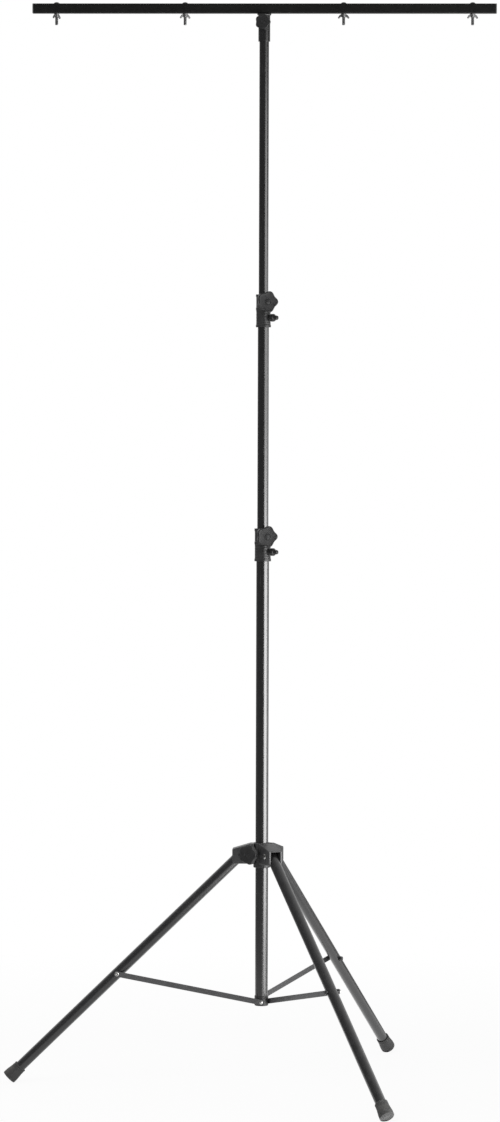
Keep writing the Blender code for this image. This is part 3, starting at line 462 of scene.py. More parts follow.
        rough = nodes.math('ADD', finish.roughness,
                           nodes.math('MULTIPLY', grain.outputs["Mottle"], finish.grain_contrast))
        rubbed = nodes.math('MULTIPLY', rubs.outputs["Mask"], self.rub_roughness)
        dusty = nodes.math('MULTIPLY', dust.outputs["Mask"], self.dust_roughness)
        rough = nodes.math('ADD', nodes.math('ADD', rough, rubbed), dusty, clamp=True)
        nodes.link(rough, shader.inputs['Roughness'])

        bump = nodes.add('ShaderNodeBump')
        bump.inputs['Strength'].default_value = self.bump_strength
        bump.inputs['Distance'].default_value = finish.grain_depth
        nodes.link(grain.outputs["Height"], bump.inputs['Height'])
        nodes.link(bump.outputs['Normal'], shader.inputs['Normal'])

        shader.inputs['Metallic'].default_value = finish.metallic
        shader.inputs['IOR'].default_value = finish.ior
        shader.inputs['Coat Weight'].default_value = finish.coat
        shader.inputs['Coat Roughness'].default_value = finish.coat_roughness
        self.made[finish.name] = material
        return material


class Shape:
    """A closed mesh, built round its own origin and then set in its place in the stand."""

    def __init__(self) -> None:
        """Start with an empty mesh."""
        self.bm = bmesh.new()

    @classmethod
    def turned(cls, profile: Corners, sides: int, ring: bool = False, rounding: float = 0.0) -> "Shape":
        """Spin a profile about the Z axis.

        Args:
            profile: Radius and height of each corner.
            sides: Steps of the full turn.
            ring: Whether the profile closes on itself, as a tube's wall does.
            rounding: Size of the rounding on every corner off the axis.

        Returns:
            The turned shape.
        """
        shape = cls()
        bm = shape.bm
        verts = [bm.verts.new((radius, 0.0, height)) for radius, height in profile]
        following = verts[1:] + verts[:1] if ring else verts[1:]
        for pair in zip(verts, following):
            bm.edges.new(pair)
        if rounding:
            corners = [vert for vert in bm.verts if len(vert.link_edges) == 2]
            shape.bevel(corners, rounding, affect='VERTICES')
        bmesh.ops.spin(bm, geom=list(bm.verts) + list(bm.edges), angle=2 * pi, steps=sides,
                       axis=(0, 0, 1), cent=(0, 0, 0), use_merge=True)
        return shape.tidied()

    @classmethod
    def stub(cls, radius: float, low: float, high: float, chamfer: float) -> "Shape":
        """Turn a short round bar along Z.

        Args:
            radius: Its radius.
            low: Where it starts.
            high: Where it ends.
            chamfer: Size of the chamfer round that end.

        Returns:
            The bar.
        """
        return cls.turned([(0, high), (radius - chamfer, high), (radius, high - chamfer), (radius, low),
                           (0, low)], BOSS_SIDES)

    @classmethod
    def sheet(cls, outline: Corners, thickness: float, rounding: float = 0.0,
              segments: int = 2) -> "Shape":
        """Extrude a flat outline in the XY plane, half its thickness to each side.

        Args:
            outline: Corners of the outline.
            thickness: Full thickness.
            rounding: Size of the rounding along both rims.
            segments: Steps of that rounding.

        Returns:
            The extruded shape.
        """
        shape = cls()
        face = shape.bm.faces.new([shape.bm.verts.new((x, y, -thickness / 2)) for x, y in outline])
        return shape._raised(face, thickness, rounding, segments)

    @classmethod
    def hexagon(cls, radius: float, thickness: float, rounding: float) -> "Shape":
        """Extrude a hexagon, half its thickness to each side.

        Args:
            radius: From its middle to a corner.
            thickness: Full thickness.
            rounding: Size of the rounding along both rims.

        Returns:
            The extruded shape.
        """
        shape = cls()
        made = bmesh.ops.create_circle(shape.bm, cap_ends=True, segments=HEXAGON, radius=radius)
        bmesh.ops.translate(shape.bm, vec=(0, 0, -thickness / 2), verts=made["verts"])
        return shape._raised(shape.bm.faces[:][0], thickness, rounding, segments=2)

    def _raised(self, face: bmesh.types.BMFace, thickness: float, rounding: float,
                segments: int) -> "Shape":
        """Extrude the only face upwards and round both rims.

        Args:
            face: The face.
            thickness: How far it is extruded.
            rounding: Size of the rounding, or 0 for none.
            segments: Steps of the rounding.

        Returns:
            The shape itself.
        """
        bm = self.bm
        made = bmesh.ops.extrude_face_region(bm, geom=[face], use_keep_orig=True)
        lifted = [item for item in made["geom"] if isinstance(item, bmesh.types.BMVert)]
        bmesh.ops.translate(bm, vec=(0, 0, thickness), verts=lifted)
        self.tidied()
        if rounding:
            rims = [edge for edge in bm.edges
                    if sorted(round(abs(side.normal.z)) for side in edge.link_faces) == [0, 1]]
            self.bevel(rims, rounding, segments)
        return self

    @classmethod
    def block(cls, size: tuple[float, float, float], centre: tuple[float, float, float],
              rounding: float, along: int | None = None) -> "Shape":
        """A box with rounded edges.

        Args:
            size: Its three sizes.
            centre: Its middle.
            rounding: Size of the rounding.
            along: Round only the edges that run along this axis, or all of them when None.

        Returns:
            The box.
        """
        shape = cls()
        bm = shape.bm
        bmesh.ops.create_cube(bm, size=1.0)
        bmesh.ops.scale(bm, vec=size, verts=bm.verts)
        bmesh.ops.translate(bm, vec=centre, verts=bm.verts)
        edges = [edge for edge in bm.edges if along is None
                 or round(abs((edge.verts[0].co - edge.verts[1].co).normalized()[along])) == 1]
        shape.bevel(edges, rounding)
        return shape

    def bevel(self, geom: Sequence[Any], width: float, segments: int = 3, affect: str = 'EDGES') -> None:
        """Round some of the shape's edges or corners.

        Args:
            geom: The edges or corners.
            width: Size of the rounding.
            segments: Its steps.
            affect: EDGES or VERTICES.
        """
        bmesh.ops.bevel(self.bm, geom=geom, offset=width, segments=segments, profile=0.5, affect=affect,
                        clamp_overlap=True, material=-1)

    def tidied(self) -> "Shape":
        """Merge doubles and turn every face outwards.

        Returns:
            The shape itself.
        """
        bmesh.ops.remove_doubles(self.bm, verts=self.bm.verts, dist=MERGE)
        bmesh.ops.recalc_face_normals(self.bm, faces=self.bm.faces)
        return self

    def placed(self, place: Matrix) -> "Shape":
        """Move the shape.

        Args:
            place: Its new place.

        Returns:
            The shape itself.
        """
        bmesh.ops.transform(self.bm, matrix=place, verts=self.bm.verts)
        return self

    def beside(self, other: "Shape") -> "Shape":
        """Take in another closed shape that stays a shell of its own.

        Args:
            other: The other shape.

        Returns:
            The shape itself.
        """
        mesh = bpy.data.meshes.new("shell")
        other.bm.to_mesh(mesh)
        self.bm.from_mesh(mesh)
        bpy.data.meshes.remove(mesh)
        return self

    def _object(self, name: str) -> bpy.types.Object:
        """Put the mesh on a new object in the scene.

        Args:
            name: The object's name.

        Returns:
            The object.
        """
        mesh = bpy.data.meshes.new(name)
        self.bm.to_mesh(mesh)
        made = bpy.data.objects.new(name, mesh)
        bpy.context.scene.collection.objects.link(made)
        return made

    def changed(self, how: Fuse, tools: Sequence["Shape"]) -> "Shape":
        """Join other closed shapes to this one, or cut them from it.

        Args:
            how: Join or cut.
            tools: The other shapes.

        Returns:
            The shape itself.
        """
        body = self._object("body")
        holders = [tool._object("tool") for tool in tools]
        for holder in holders:
            modifier = body.modifiers.new("change", 'BOOLEAN')
            modifier.operation = how.value
            modifier.solver = 'EXACT'
            modifier.object = holder
        self._take(body)
        for holder in [body, *holders]:
            bpy.data.objects.remove(holder, do_unlink=True)
        return self

    def softened(self, width: float) -> "Shape":
        """Round every edge that turns by more than SOFT_ANGLE.

        The places of cut corners differ in their last digits from run to run, and the rounding would
        follow that, so they are set to whole micrometres first.

        Args:
            width: Size of the rounding.

        Returns:
            The shape itself.
        """
        for vert in self.bm.verts:
            vert.co = [round(part, PLACE_DIGITS) for part in vert.co]
        bmesh.ops.remove_doubles(self.bm, verts=self.bm.verts, dist=MERGE)
        bmesh.ops.dissolve_limit(self.bm, angle_limit=FLAT_ANGLE, use_dissolve_boundaries=False,
                                 verts=self.bm.verts, edges=self.bm.edges)
        body = self._object("body")
        modifier = body.modifiers.new("soften", 'BEVEL')
        modifier.width = width
        modifier.segments = 2
        modifier.limit_method = 'ANGLE'
        modifier.angle_limit = SOFT_ANGLE
        modifier.use_clamp_overlap = True
        self._take(body)
        bpy.data.objects.remove(body, do_unlink=True)
        return self

    def _take(self, body: bpy.types.Object) -> None:
        """Take the evaluated mesh of an object.

        Args:
            body: The object.
        """
        bpy.context.view_layer.update()
        evaluated = body.evaluated_get(bpy.context.evaluated_depsgraph_get())
        self.bm.clear()
        self.bm.from_mesh(evaluated.to_mesh())
        bmesh.ops.remove_doubles(self.bm, verts=self.bm.verts, dist=MERGE)


class Dresser:
    """Turns finished shapes into pieces, and gives the kept solids their finish."""

    def __init__(self, frame: dict[str, Any], paint: PaintShop) -> None:
        """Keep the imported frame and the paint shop."""
        self.frame = frame
        self.paint = paint

    def piece(self, name: str, shape: Shape, body: str, finish: Finish, nodes: Sequence[str]) -> None:
        """Make a shape a piece of the stand.

        Args:
            name: The piece's name.
            shape: Its mesh, in its place.
            body: The body that it moves with.
            finish: Its finish.
            nodes: The solids that it stands for.
        """
        bm = shape.bm
        bmesh.ops.recalc_face_normals(bm, faces=bm.faces)
        for face in bm.faces:
            face.smooth = True
        for edge in bm.edges:
            if len(edge.link_faces) == 2 and edge.calc_face_angle(0.0) > SHARP_ANGLE:
                edge.smooth = False
        mesh = bpy.data.meshes.new(name)
        bm.to_mesh(mesh)
        triangles = sum(len(face.verts) - 2 for face in bm.faces)
        open_edges = sum(1 for edge in bm.edges if len(edge.link_faces) != 2)
        bm.free()
        made = bpy.data.objects.new(name, mesh)
        bpy.context.scene.collection.objects.link(made)
        made.data.materials.append(self.paint.material(finish))
        weighted = made.modifiers.new("even normals", 'WEIGHTED_NORMAL')
        weighted.keep_sharp = True
        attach(made, body)
        if nodes:
            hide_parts(*nodes)
        LOG.info("%s: %d triangles, %d open edges, on %s", name, triangles, open_edges, body)

    def keep(self, node: str, finish: Finish) -> None:
        """Give a solid that keeps its own shape a finish.

        Args:
            node: The solid's name.
            finish: Its finish.
        """
        for slot in self.frame["nodes"][node].material_slots:
            slot.material = self.paint.material(finish)

    def pivot(self, joint: str) -> Vector:
        """Place of a hinge at rest."""
        row = next(item for item in self.frame["joints"] if item["name"] == joint)
        return Vector(row["pos_m"])


def along_z(x: float, height: float) -> Matrix:
    """Place on the mast's axis at a height."""
    return Matrix.Translation((x, 0.0, height))


def outward(x: float, height: float, azimuth: float) -> Matrix:
    """Place on the mast's axis with the local Z axis pointing outwards.

    Args:
        x: Where the mast's axis is.
        height: Height above the floor.
        azimuth: Direction about the mast.

    Returns:
        The place.
    """
    return along_z(x, height) @ Matrix.Rotation(azimuth, 4, 'Z') @ Matrix.Rotation(pi / 2, 4, 'Y')


def arc(centre: tuple[float, float], radius: float, start: float, turn: float, steps: int) -> Corners:
    """Corners along an arc, both its ends among them.

    Args:
        centre: The arc's centre.
        radius: Its radius.
        start: Direction of the first corner from the centre.
        turn: How far the arc turns from there.
        steps: How many steps it takes.

    Returns:
        The corners in order.
    """
    ways = [start + part * turn / steps for part in range(steps + 1)]
    return [(centre[0] + radius * cos(way), centre[1] + radius * sin(way)) for way in ways]


def stepped(radius: float, height: float, steps: Steps) -> Corners:
    """Corners that lie inwards of and below a corner of a profile.

    Args:
        radius: The corner's radius.
        height: Its height.
        steps: How far inwards and how far down each one lies.

    Returns:
        The corners in order.
    """
    return [(radius - inward, height - down) for inward, down in steps]


def thread(radius: float, depth: float, pitch: float, top: float, end: float) -> Corners:
    """Corners of a threaded shank's profile, from top to end.

    Args:
        radius: Over the crests.
        depth: From crest to root.
        pitch: From crest to crest.
        top: Where the thread starts.
        end: Where it ends, below top.

    Returns:
        Radius and height of each corner.
    """
    corners: Corners = []
    for turn in range(int((top - end) / pitch)):
        height = top - turn * pitch
        corners += [(radius, height - share * pitch) for share in THREAD_CREST]
        corners += [(radius - depth, height - share * pitch) for share in THREAD_ROOT]
    return corners


@dataclass(frozen=True)
class KnobSize:
    """The sizes in which the stand's clamp knobs differ."""

    radius: float                # over the lobes
    valley: float                # between two lobes
    thickness: float
    neck_radius: float
    edge: float = 0.0028         # rounding of the lobes' rims


@dataclass
class StarKnob:
    """Five-lobed clamp knob with a neck, a dished face and a cap in its middle."""

    label: str
    body: str
    node: str
    size: KnobSize
    start: float                     # where the neck starts on the axle
    neck: float
    lobes: int = 5
    sides: int = 120
    edge_steps: int = 5
    cap_share: float = 0.24
    cap_depth: float = 0.0004
    cap_edge: tuple[float, float] = (0.0008, 0.0005)  # how far in and down its edge slopes
    moat: float = 0.0011             # the groove round the cap
    moat_slope: float = 0.0003
    moat_width: float = 0.0012
    dish: float = 0.0008             # how deep the face is dished
    dish_start: float = 0.0006       # from the moat
    dish_end: float = 0.0028         # from the lobes' rounding
    brim: tuple[float, float] = (0.0012, 0.0002)  # in from that rounding, and down
    neck_chamfer: float = 0.0004
    round_share: float = 0.40        # share of the radius that stays round

    def profile(self) -> Corners:
        """Corners of half a section, from the face's middle to the neck's end.

        Returns:
            Radius and height of each corner.
        """
        size = self.size
        foot = self.start + self.neck
        face = foot + size.thickness
        top = face - self.cap_depth
        cap = self.cap_share * size.radius
        well = cap + self.moat_width
        inner = size.radius - size.edge
        corners = [(0, top), (cap - self.cap_edge[0], top), (cap, top - self.cap_edge[1]),
                   (cap + self.moat_slope, top - self.moat), (well, top - self.moat),
                   (well + self.dish_start, face - self.dish), (inner - self.dish_end, face - self.dish),
                   (inner - self.brim[0], face - self.brim[1])]
        corners += arc((inner, face - size.edge), size.edge, pi / 2, -pi / 2, self.edge_steps)
        corners += arc((inner, foot + size.edge), size.edge, 0.0, -pi / 2, self.edge_steps)
        return corners + [(size.neck_radius, foot), (size.neck_radius, self.start + self.neck_chamfer),
                          (size.neck_radius - self.neck_chamfer, self.start), (0, self.start)]

    def build(self, dresser: Dresser, place: Matrix) -> None:
        """Build the knob.

        Args:
            dresser: Takes the finished piece.
            place: The knob's axle, with Z outwards from the mast's axis.
        """
        size = self.size
        star = Shape.turned(self.profile(), self.sides)
        round_to = self.round_share * size.radius
        for vert in star.bm.verts:
            flat = Vector((vert.co.x, vert.co.y))
            if flat.length <= max(round_to, size.neck_radius + MERGE):
                continue
            lobe = (1 + cos(self.lobes * flat.angle_signed(AHEAD))) / 2
            reach = (size.valley + (size.radius - size.valley) * lobe) / size.radius
            share = min(1.0, (flat.length - round_to) / (size.radius - size.edge - round_to))
            vert.co.x, vert.co.y = flat * (1 - share * (1 - reach))
        dresser.piece(f"{self.label}_star_knob", star.placed(place), self.body, KNOB_NYLON, (self.node,))


@dataclass
class SafetyPin:
    """Spring safety pin: hexagonal flange, threaded housing and a pull knob."""

    label: str
    housing_radius: float = 0.0055
    thread_depth: float = 0.0004
    pitch: float = 0.0011
    thread_top: float = 0.0003       # plain length at the housing's end
    thread_end: float = 0.0006       # plain length at its foot
    flange_radius: float = 0.0080
    flange: float = 0.0025
    flange_rounding: float = 0.0004
    reach: float = 0.0050            # of the housing, over the rim
    knob_radius: float = 0.0100
    knob_base: float = 0.0100
    knob_chamfer: float = 0.0006
    ribs: int = 5
    ribs_from: float = 0.0010        # from the knob's start to its first rib
    ribs_spare: float = 0.0030       # length of the base without ribs
    rib_crest: float = 0.6           # where a crest ends, as a share of a rib
    rib_root: float = 0.8            # where a valley is
    grip_groove: float = 0.0004
    base_steps: Steps = ((0.0008, 0.0008), (0.0022, 0.0))  # in and down
    tip_radius: float = 0.0058
    tip_steps: Steps = ((0.0, 0.0030), (0.0010, 0.0008), (0.0028, 0.0))  # in and down
    taper: float = 0.0030
    length: float = 0.0205
    rounding: float = 0.00025

    def build(self, dresser: Dresser, place: Matrix, outer_radius: float, rim: float, carrier: str) -> None:
        """Build the housing and the pull knob.

        Args:
            dresser: Takes the finished pieces.
            place: The pin's axis, with Z outwards from the mast's axis.
            outer_radius: Radius of the gripped tube.
            rim: Radius of the collar's rims, which the flange stands on.
            carrier: The body that carries the housing.
        """
        foot = rim + CLEARANCE
        end = foot + self.reach
        housing = Shape.hexagon(self.flange_radius, self.flange, self.flange_rounding)
        housing.placed(Matrix.Translation((0, 0, foot + self.flange / 2)))
        inner = outer_radius + 2 * CLEARANCE
        core = self.housing_radius - self.thread_depth
        sleeve = [(0, end), (core, end)]
        sleeve += thread(self.housing_radius, self.thread_depth, self.pitch, end - self.thread_top,
                         inner + self.thread_end)
        sleeve += [(core, inner), (0, inner)]
        housing.beside(Shape.turned(sleeve, BOSS_SIDES))
        dresser.piece(f"{self.label}_pin_sleeve", housing.placed(place), carrier, BLACK_STEEL,
                      (f"{self.label}_pin_housing",))

        start = end + CLEARANCE
        base = start + self.knob_base
        top = start + self.length
        profile = [(0, start), (self.knob_radius - self.knob_chamfer, start)]
        step = (self.knob_base - self.ribs_spare) / self.ribs
        for number in range(self.ribs):
            low = start + self.ribs_from + number * step
            profile += [(self.knob_radius, low), (self.knob_radius, low + self.rib_crest * step),
                        (self.knob_radius - self.grip_groove, low + self.rib_root * step)]
        profile += stepped(self.knob_radius, base, self.base_steps)
        profile += [(self.tip_radius, base + self.taper)]
        profile += [*stepped(self.tip_radius, top, self.tip_steps), (0, top)]
        knob = Shape.turned(profile, GRIP_SIDES, rounding=self.rounding)
        dresser.piece(f"{self.label}_pull_knob", knob.placed(place), f"{self.label}_safety_pin",
                      KNOB_NYLON, (f"{self.label}_pin_knob",))
        dresser.keep(f"{self.label}_pin", ZINC)


@dataclass
class ClampCollar:
    """Moulded collar with rims, a band, grooves, a boss for its knob and a seat for its pin."""

    label: str
    carrier: str
    outer_radius: float
    inner_radius: float
    height: float = 0.085
    grip: float = 0.038              # how far it reaches over the lower tube
    wall: float = 0.0042
    rounding: float = 0.0003
    rim: float = 0.0009              # how far the rims and the band stand out
    rim_height: float = 0.006
    rim_slope: float = 0.0012
    band: float = 0.0475             # height of its middle
    groove_count: int = 4
    groove_depth: float = 0.0005
    groove_edge: float = 0.0008      # from a groove's middle to its edge
    groove_floor: float = 0.0003     # from its middle to where its floor ends
    clamp_height: float = 0.0655
    clamp_azimuth: float = radians(-75)
    boss_radius: float = 0.0095
    boss_reach: float = 0.0095
    boss_chamfer: float = 0.0008
    knob: KnobSize = KnobSize(0.0280, 0.0232, 0.0165, 0.0105)
    knob_neck: float = 0.005
    pin_height: float = 0.0245
    pin_azimuth: float = radians(-34)
    seat_radius: float = 0.0092
    seat_root: float = 0.0100
    seat_reach: float = 0.0002       # over the rims

    def build(self, dresser: Dresser, x: float) -> None:
        """Build the collar with its knob and safety pin.

        Args:
            dresser: Takes the finished pieces.
            x: Where the mast's axis is.
        """
        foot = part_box(f"{self.label}_collar")[0].z
        body = self.outer_radius + self.wall
        rim = body + self.rim
        shell = self._shell(body, rim)
        root = body - self.wall / 2
        boss_end = body + self.boss_reach
        boss = Shape.stub(self.boss_radius, root, boss_end, self.boss_chamfer)
        boss.placed(outward(0, self.clamp_height, self.clamp_azimuth))
        seat_end = rim + self.seat_reach
        seat = Shape.turned([(0, seat_end), (self.seat_radius, seat_end), (self.seat_root, root),
                             (0, root)], BOSS_SIDES)
        seat.placed(outward(0, self.pin_height, self.pin_azimuth))
        shell.changed(Fuse.JOIN, (boss, seat))
        dresser.piece(f"{self.label}_clamp_collar", shell.placed(along_z(x, foot)), self.carrier,
                      COLLAR_NYLON, (f"{self.label}_collar",))
        knob = StarKnob(self.label, f"{self.label}_clamp", f"{self.label}_knob", self.knob,
                        boss_end + CLEARANCE, self.knob_neck)
        knob.build(dresser, outward(x, foot + self.clamp_height, self.clamp_azimuth))
        dresser.keep(f"{self.label}_clamp_screw", BLACK_STEEL)
        SafetyPin(self.label).build(dresser, outward(x, foot + self.pin_height, self.pin_azimuth),
                                    self.outer_radius, rim, self.carrier)

    def _shell(self, body: float, rim: float) -> Shape:
        """Turn the collar itself, with z = 0 at its foot.

        Args:
            body: Radius between the rims.
            rim: Radius of the rims.

        Returns:
            The collar, without its boss and its seat.
        """
        grip = self.outer_radius + CLEARANCE
        guide = self.inner_radius + RUNNING_GAP
        shoulder = self.grip + CLEARANCE
        rim_foot = self.height - self.rim_height
        band_top = self.band + self.rim_height / 2
        band_foot = self.band - self.rim_height / 2
        profile = [(rim, self.height), (rim, rim_foot), (body, rim_foot - self.rim_slope),
                   (body, band_top + self.rim_slope), (rim, band_top), (rim, band_foot),
                   (body, band_foot - self.rim_slope)]
        floor = body - self.groove_depth
        step = (band_foot - self.rim_height) / (self.groove_count + 1)
        for number in range(1, self.groove_count + 1):
            middle = band_foot - number * step
            profile += [(body, middle + self.groove_edge), (floor, middle + self.groove_floor),
                        (floor, middle - self.groove_floor), (body, middle - self.groove_edge)]
        profile += [(body, self.rim_height + self.rim_slope), (rim, self.rim_height), (rim, 0), (grip, 0),
                    (grip, shoulder), (guide, shoulder), (guide, self.height)]
        return Shape.turned(profile, MOULDED_SIDES, ring=True, rounding=self.rounding)


@dataclass
class Mast:
    """Column, middle tube and upper tube with their collars, and the column's foot."""

    wall: float = TUBE_WALL
    tube_rounding: float = 0.0003
    foot_ring_height: float = 0.026
    foot_ring_wall: float = 0.0012
    foot_ring_steps: Steps = ((0.0004, 0.0), (0.0, 0.0006))  # in and down
    foot_base: float = 0.003
    foot_plug: float = 0.023
    foot_edge: float = 0.0012
    foot_rounding: float = 0.0002
    hollow_radius: float = 0.007     # of the hollow under the foot
    hollow_slope: float = 0.001
    hollow: float = 0.0012
    rivet_height: float = 0.010
    rivet_radius: float = 0.0050
    rivet_reach: float = 0.0025
    # radius, and share of the head's height
    rivet_dome: Steps = ((0.0, 1.0), (0.0022, 0.92), (0.0038, 0.62), (0.0048, 0.24))
    rivet_shank: float = 0.0025
    rivet_root: float = 0.008        # where the shank starts, from the axis
    strut_face: float = 0.0213       # outer face of a strut, from the axis

    def build(self, dresser: Dresser, x: float) -> None:
        """Build the mast.

        Args:
            dresser: Takes the finished pieces.
            x: Where the mast's axis is.
        """
        for node, body, radius in (("column_tube", "column", COLUMN_RADIUS),
                                   ("middle_tube", "middle_mast", MIDDLE_RADIUS),
                                   ("upper_tube", "upper_mast", UPPER_RADIUS)):
            low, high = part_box(node)
            inner = radius - self.wall
            tube = Shape.turned([(radius, high.z), (radius, low.z), (inner, low.z), (inner, high.z)],
                                TUBE_SIDES, ring=True, rounding=self.tube_rounding)
            dresser.piece(f"{node}_painted", tube.placed(along_z(x, 0)), body, MAST_PAINT, (node,))
        for node in ("middle_guide_bush", "upper_guide_bush"):
            dresser.keep(node, COLLAR_NYLON)
        self._foot(dresser, x)
        ClampCollar("lower", "column", COLUMN_RADIUS, MIDDLE_RADIUS).build(dresser, x)
        ClampCollar("upper", "middle_mast", MIDDLE_RADIUS, UPPER_RADIUS).build(dresser, x)

    def _foot(self, dresser: Dresser, x: float) -> None:
        """Build the column's foot and the rivets that hold the struts.

        Args:
            dresser: Takes the finished pieces.
            x: Where the mast's axis is.
        """
        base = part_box("column_foot")[0].z
        groove = COLUMN_RADIUS + CLEARANCE
        ring = groove + self.foot_ring_wall
        plug = COLUMN_RADIUS - self.wall - CLEARANCE
        profile = [(0, self.foot_plug), (plug, self.foot_plug), (plug, self.foot_base),
                   (groove, self.foot_base), (groove, self.foot_ring_height)]
        profile += stepped(ring, self.foot_ring_height, self.foot_ring_steps)
        profile += [(ring, self.foot_edge), (ring - self.foot_edge, 0), (self.hollow_radius, 0),
                    (self.hollow_radius - self.hollow_slope, self.hollow), (0, self.hollow)]
        foot = Shape.turned(profile, MOULDED_SIDES, rounding=self.foot_rounding).placed(along_z(x, base))
        dresser.piece("column_foot_moulding", foot, "column", COLLAR_NYLON, ("column_foot",))
        head = self.strut_face + CLEARANCE
        for side in Side:
            dome = [(radius, head + self.rivet_reach * share) for radius, share in self.rivet_dome]
            rivet = Shape.turned([*dome, (self.rivet_radius, head), (self.rivet_shank, head),
                                  (self.rivet_shank, self.rivet_root), (0, self.rivet_root)], SMALL_SIDES)
            place = outward(x, base + self.rivet_height, side.azimuth + pi / 2)
            dresser.piece(f"rivet_{side.label}", rivet.placed(place), "column", ZINC,
                          (f"strut_rivet_{side.label}",))


@dataclass
class Crossbar:
    """Square bar with its sleeve, end caps, lamp bolts and wing nuts."""

    size: float = 0.025
    wall: float = TUBE_WALL
    corner: float = 0.0025
    bore_corner: float = 0.0017
    cap_flange: float = 0.003
    cap_rounding: float = 0.0007
    cap_insert: float = 0.012
    insert_corner: float = 0.0012
    tube_radius: float = UPPER_RADIUS
    sleeve_wall: float = 0.0027
    sleeve_rounding: float = 0.0004
    saddle: tuple[float, float, float] = (0.036, 0.0245, 0.003)
    saddle_rounding: float = 0.0006
    weld: float = 0.0018
    weld_sides: int = 12
    weld_ripples: int = 30
    ripple_steps: int = 4            # steps of the turn in each ripple
    weld_swell: float = 0.14         # share by which ripples swell and shrink
    clamp_below_bar: float = 0.0235
    clamp_azimuth: float = radians(-96)
    boss_radius: float = 0.007
    boss_reach: float = 0.0045
    boss_root: float = 0.001         # how far it sits in the sleeve's wall
    boss_chamfer: float = 0.0006
    knob: KnobSize = KnobSize(0.0200, 0.0170, 0.0115, 0.0070, edge=0.0022)
    knob_neck: float = 0.002
    head_radius: float = 0.0072
    head_height: float = 0.0036
    head_edge: float = 0.0004
    dome_steps: int = 8
    bolt_radius: float = 0.004
    bolt_below: float = 0.030
    thread_depth: float = 0.0005
    pitch: float = 0.00125
    thread_spare: float = 0.0006     # plain length at the bolt's end
    bolt_chamfer: float = 0.0008
    wing_turns: tuple[float, ...] = (radians(55), radians(28), radians(6), radians(20))

    def build(self, dresser: Dresser, x: float) -> None:
        """Build the crossbar.

        Args:
            dresser: Takes the finished pieces.
            x: Where the mast's axis is.
        """
        low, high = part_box("crossbar")
        length = high.x - low.x
        middle = (low.z + high.z) / 2
        centre = ((low.x + high.x) / 2, 0.0, middle)
        inside = self.size - 2 * self.wall
        bar = Shape.block((length, self.size, self.size), centre, self.corner, along=0)
        bore = Shape.block((length + OVERRUN, inside, inside), centre, self.bore_corner, along=0)
        bar.changed(Fuse.CUT, (bore,))
        dresser.piece("square_bar", bar, "crossbar", BAR_PAINT, ("crossbar",))
        for label, sign in (("left", -1), ("right", 1)):
            self._cap(dresser, label, sign, middle)
        for number, turn in enumerate(self.wing_turns, 1):
            bolt_x = sum(corner.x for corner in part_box(f"lamp_bolt_{number}")) / 2
            self._bolt(dresser, number, bolt_x, middle)
            WingNut().build(dresser, number, bolt_x, middle - self.size / 2 - CLEARANCE, turn)
        self._sleeve(dresser, x)

    def _cap(self, dresser: Dresser, label: str, sign: int, middle: float) -> None:
        """Build an end cap with its insert.

        Args:
            dresser: Takes the finished piece.
            label: Which end it closes.
            sign: -1 at the left end, 1 at the right one.
            middle: Height of the bar's middle.
        """
        low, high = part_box(f"bar_end_cap_{label}")
        outer = high.x if sign > 0 else low.x
        flange_x = outer - sign * self.cap_flange / 2
        cap = Shape.block((self.cap_flange, self.size, self.size), (flange_x, 0, middle), self.corner,
                          along=0)
        rims = [edge for edge in cap.bm.edges
                if all(abs(vert.co.x - outer) < MERGE for vert in edge.verts)]
        cap.bevel(rims, self.cap_rounding)
        inside = self.size - 2 * self.wall - 2 * CLEARANCE
        insert_x = outer - sign * (self.cap_flange + self.cap_insert / 2)
        cap.beside(Shape.block((self.cap_insert, inside, inside), (insert_x, 0, middle), self.insert_corner,
                               along=0))
        dresser.piece(f"end_cap_{label}", cap, "crossbar", FOOT_RUBBER, (f"bar_end_cap_{label}",))

    def _bolt(self, dresser: Dresser, number: int, bolt_x: float, middle: float) -> None:
        """Build a lamp bolt: painted dome head, plain neck in the bar and thread below it.

        Args:
            dresser: Takes the finished pieces.
            number: Which bolt it is.
            bolt_x: Where it is along the bar.
            middle: Height of the bar's middle.
        """
        head = self.size / 2 + CLEARANCE
        ways = [part * pi / 2 / self.dome_steps for part in range(self.dome_steps)]
        dome = [(self.head_radius * sin(way), head + self.head_height * cos(way)) for way in ways]
        dome += [(self.head_radius, head + self.head_edge), (self.head_radius, head), (0, head)]
        place = Matrix.Translation((bolt_x, 0, middle))
        node = f"lamp_bolt_{number}"
        dresser.piece(f"lamp_bolt_head_{number}", Shape.turned(dome, SMALL_SIDES).placed(place), "crossbar",
                      BAR_PAINT, (node,))
        end = -self.size / 2 - self.bolt_below
        shank = [(0, head), (self.bolt_radius, head)]
        shank += thread(self.bolt_radius, self.thread_depth, self.pitch, -self.size / 2,
                        end + self.thread_spare)
        shank += [(self.bolt_radius - self.bolt_chamfer, end), (0, end)]
        dresser.piece(f"lamp_bolt_threaded_{number}", Shape.turned(shank, SMALL_SIDES).placed(place),
                      "crossbar", DULL_ZINC, (node,))

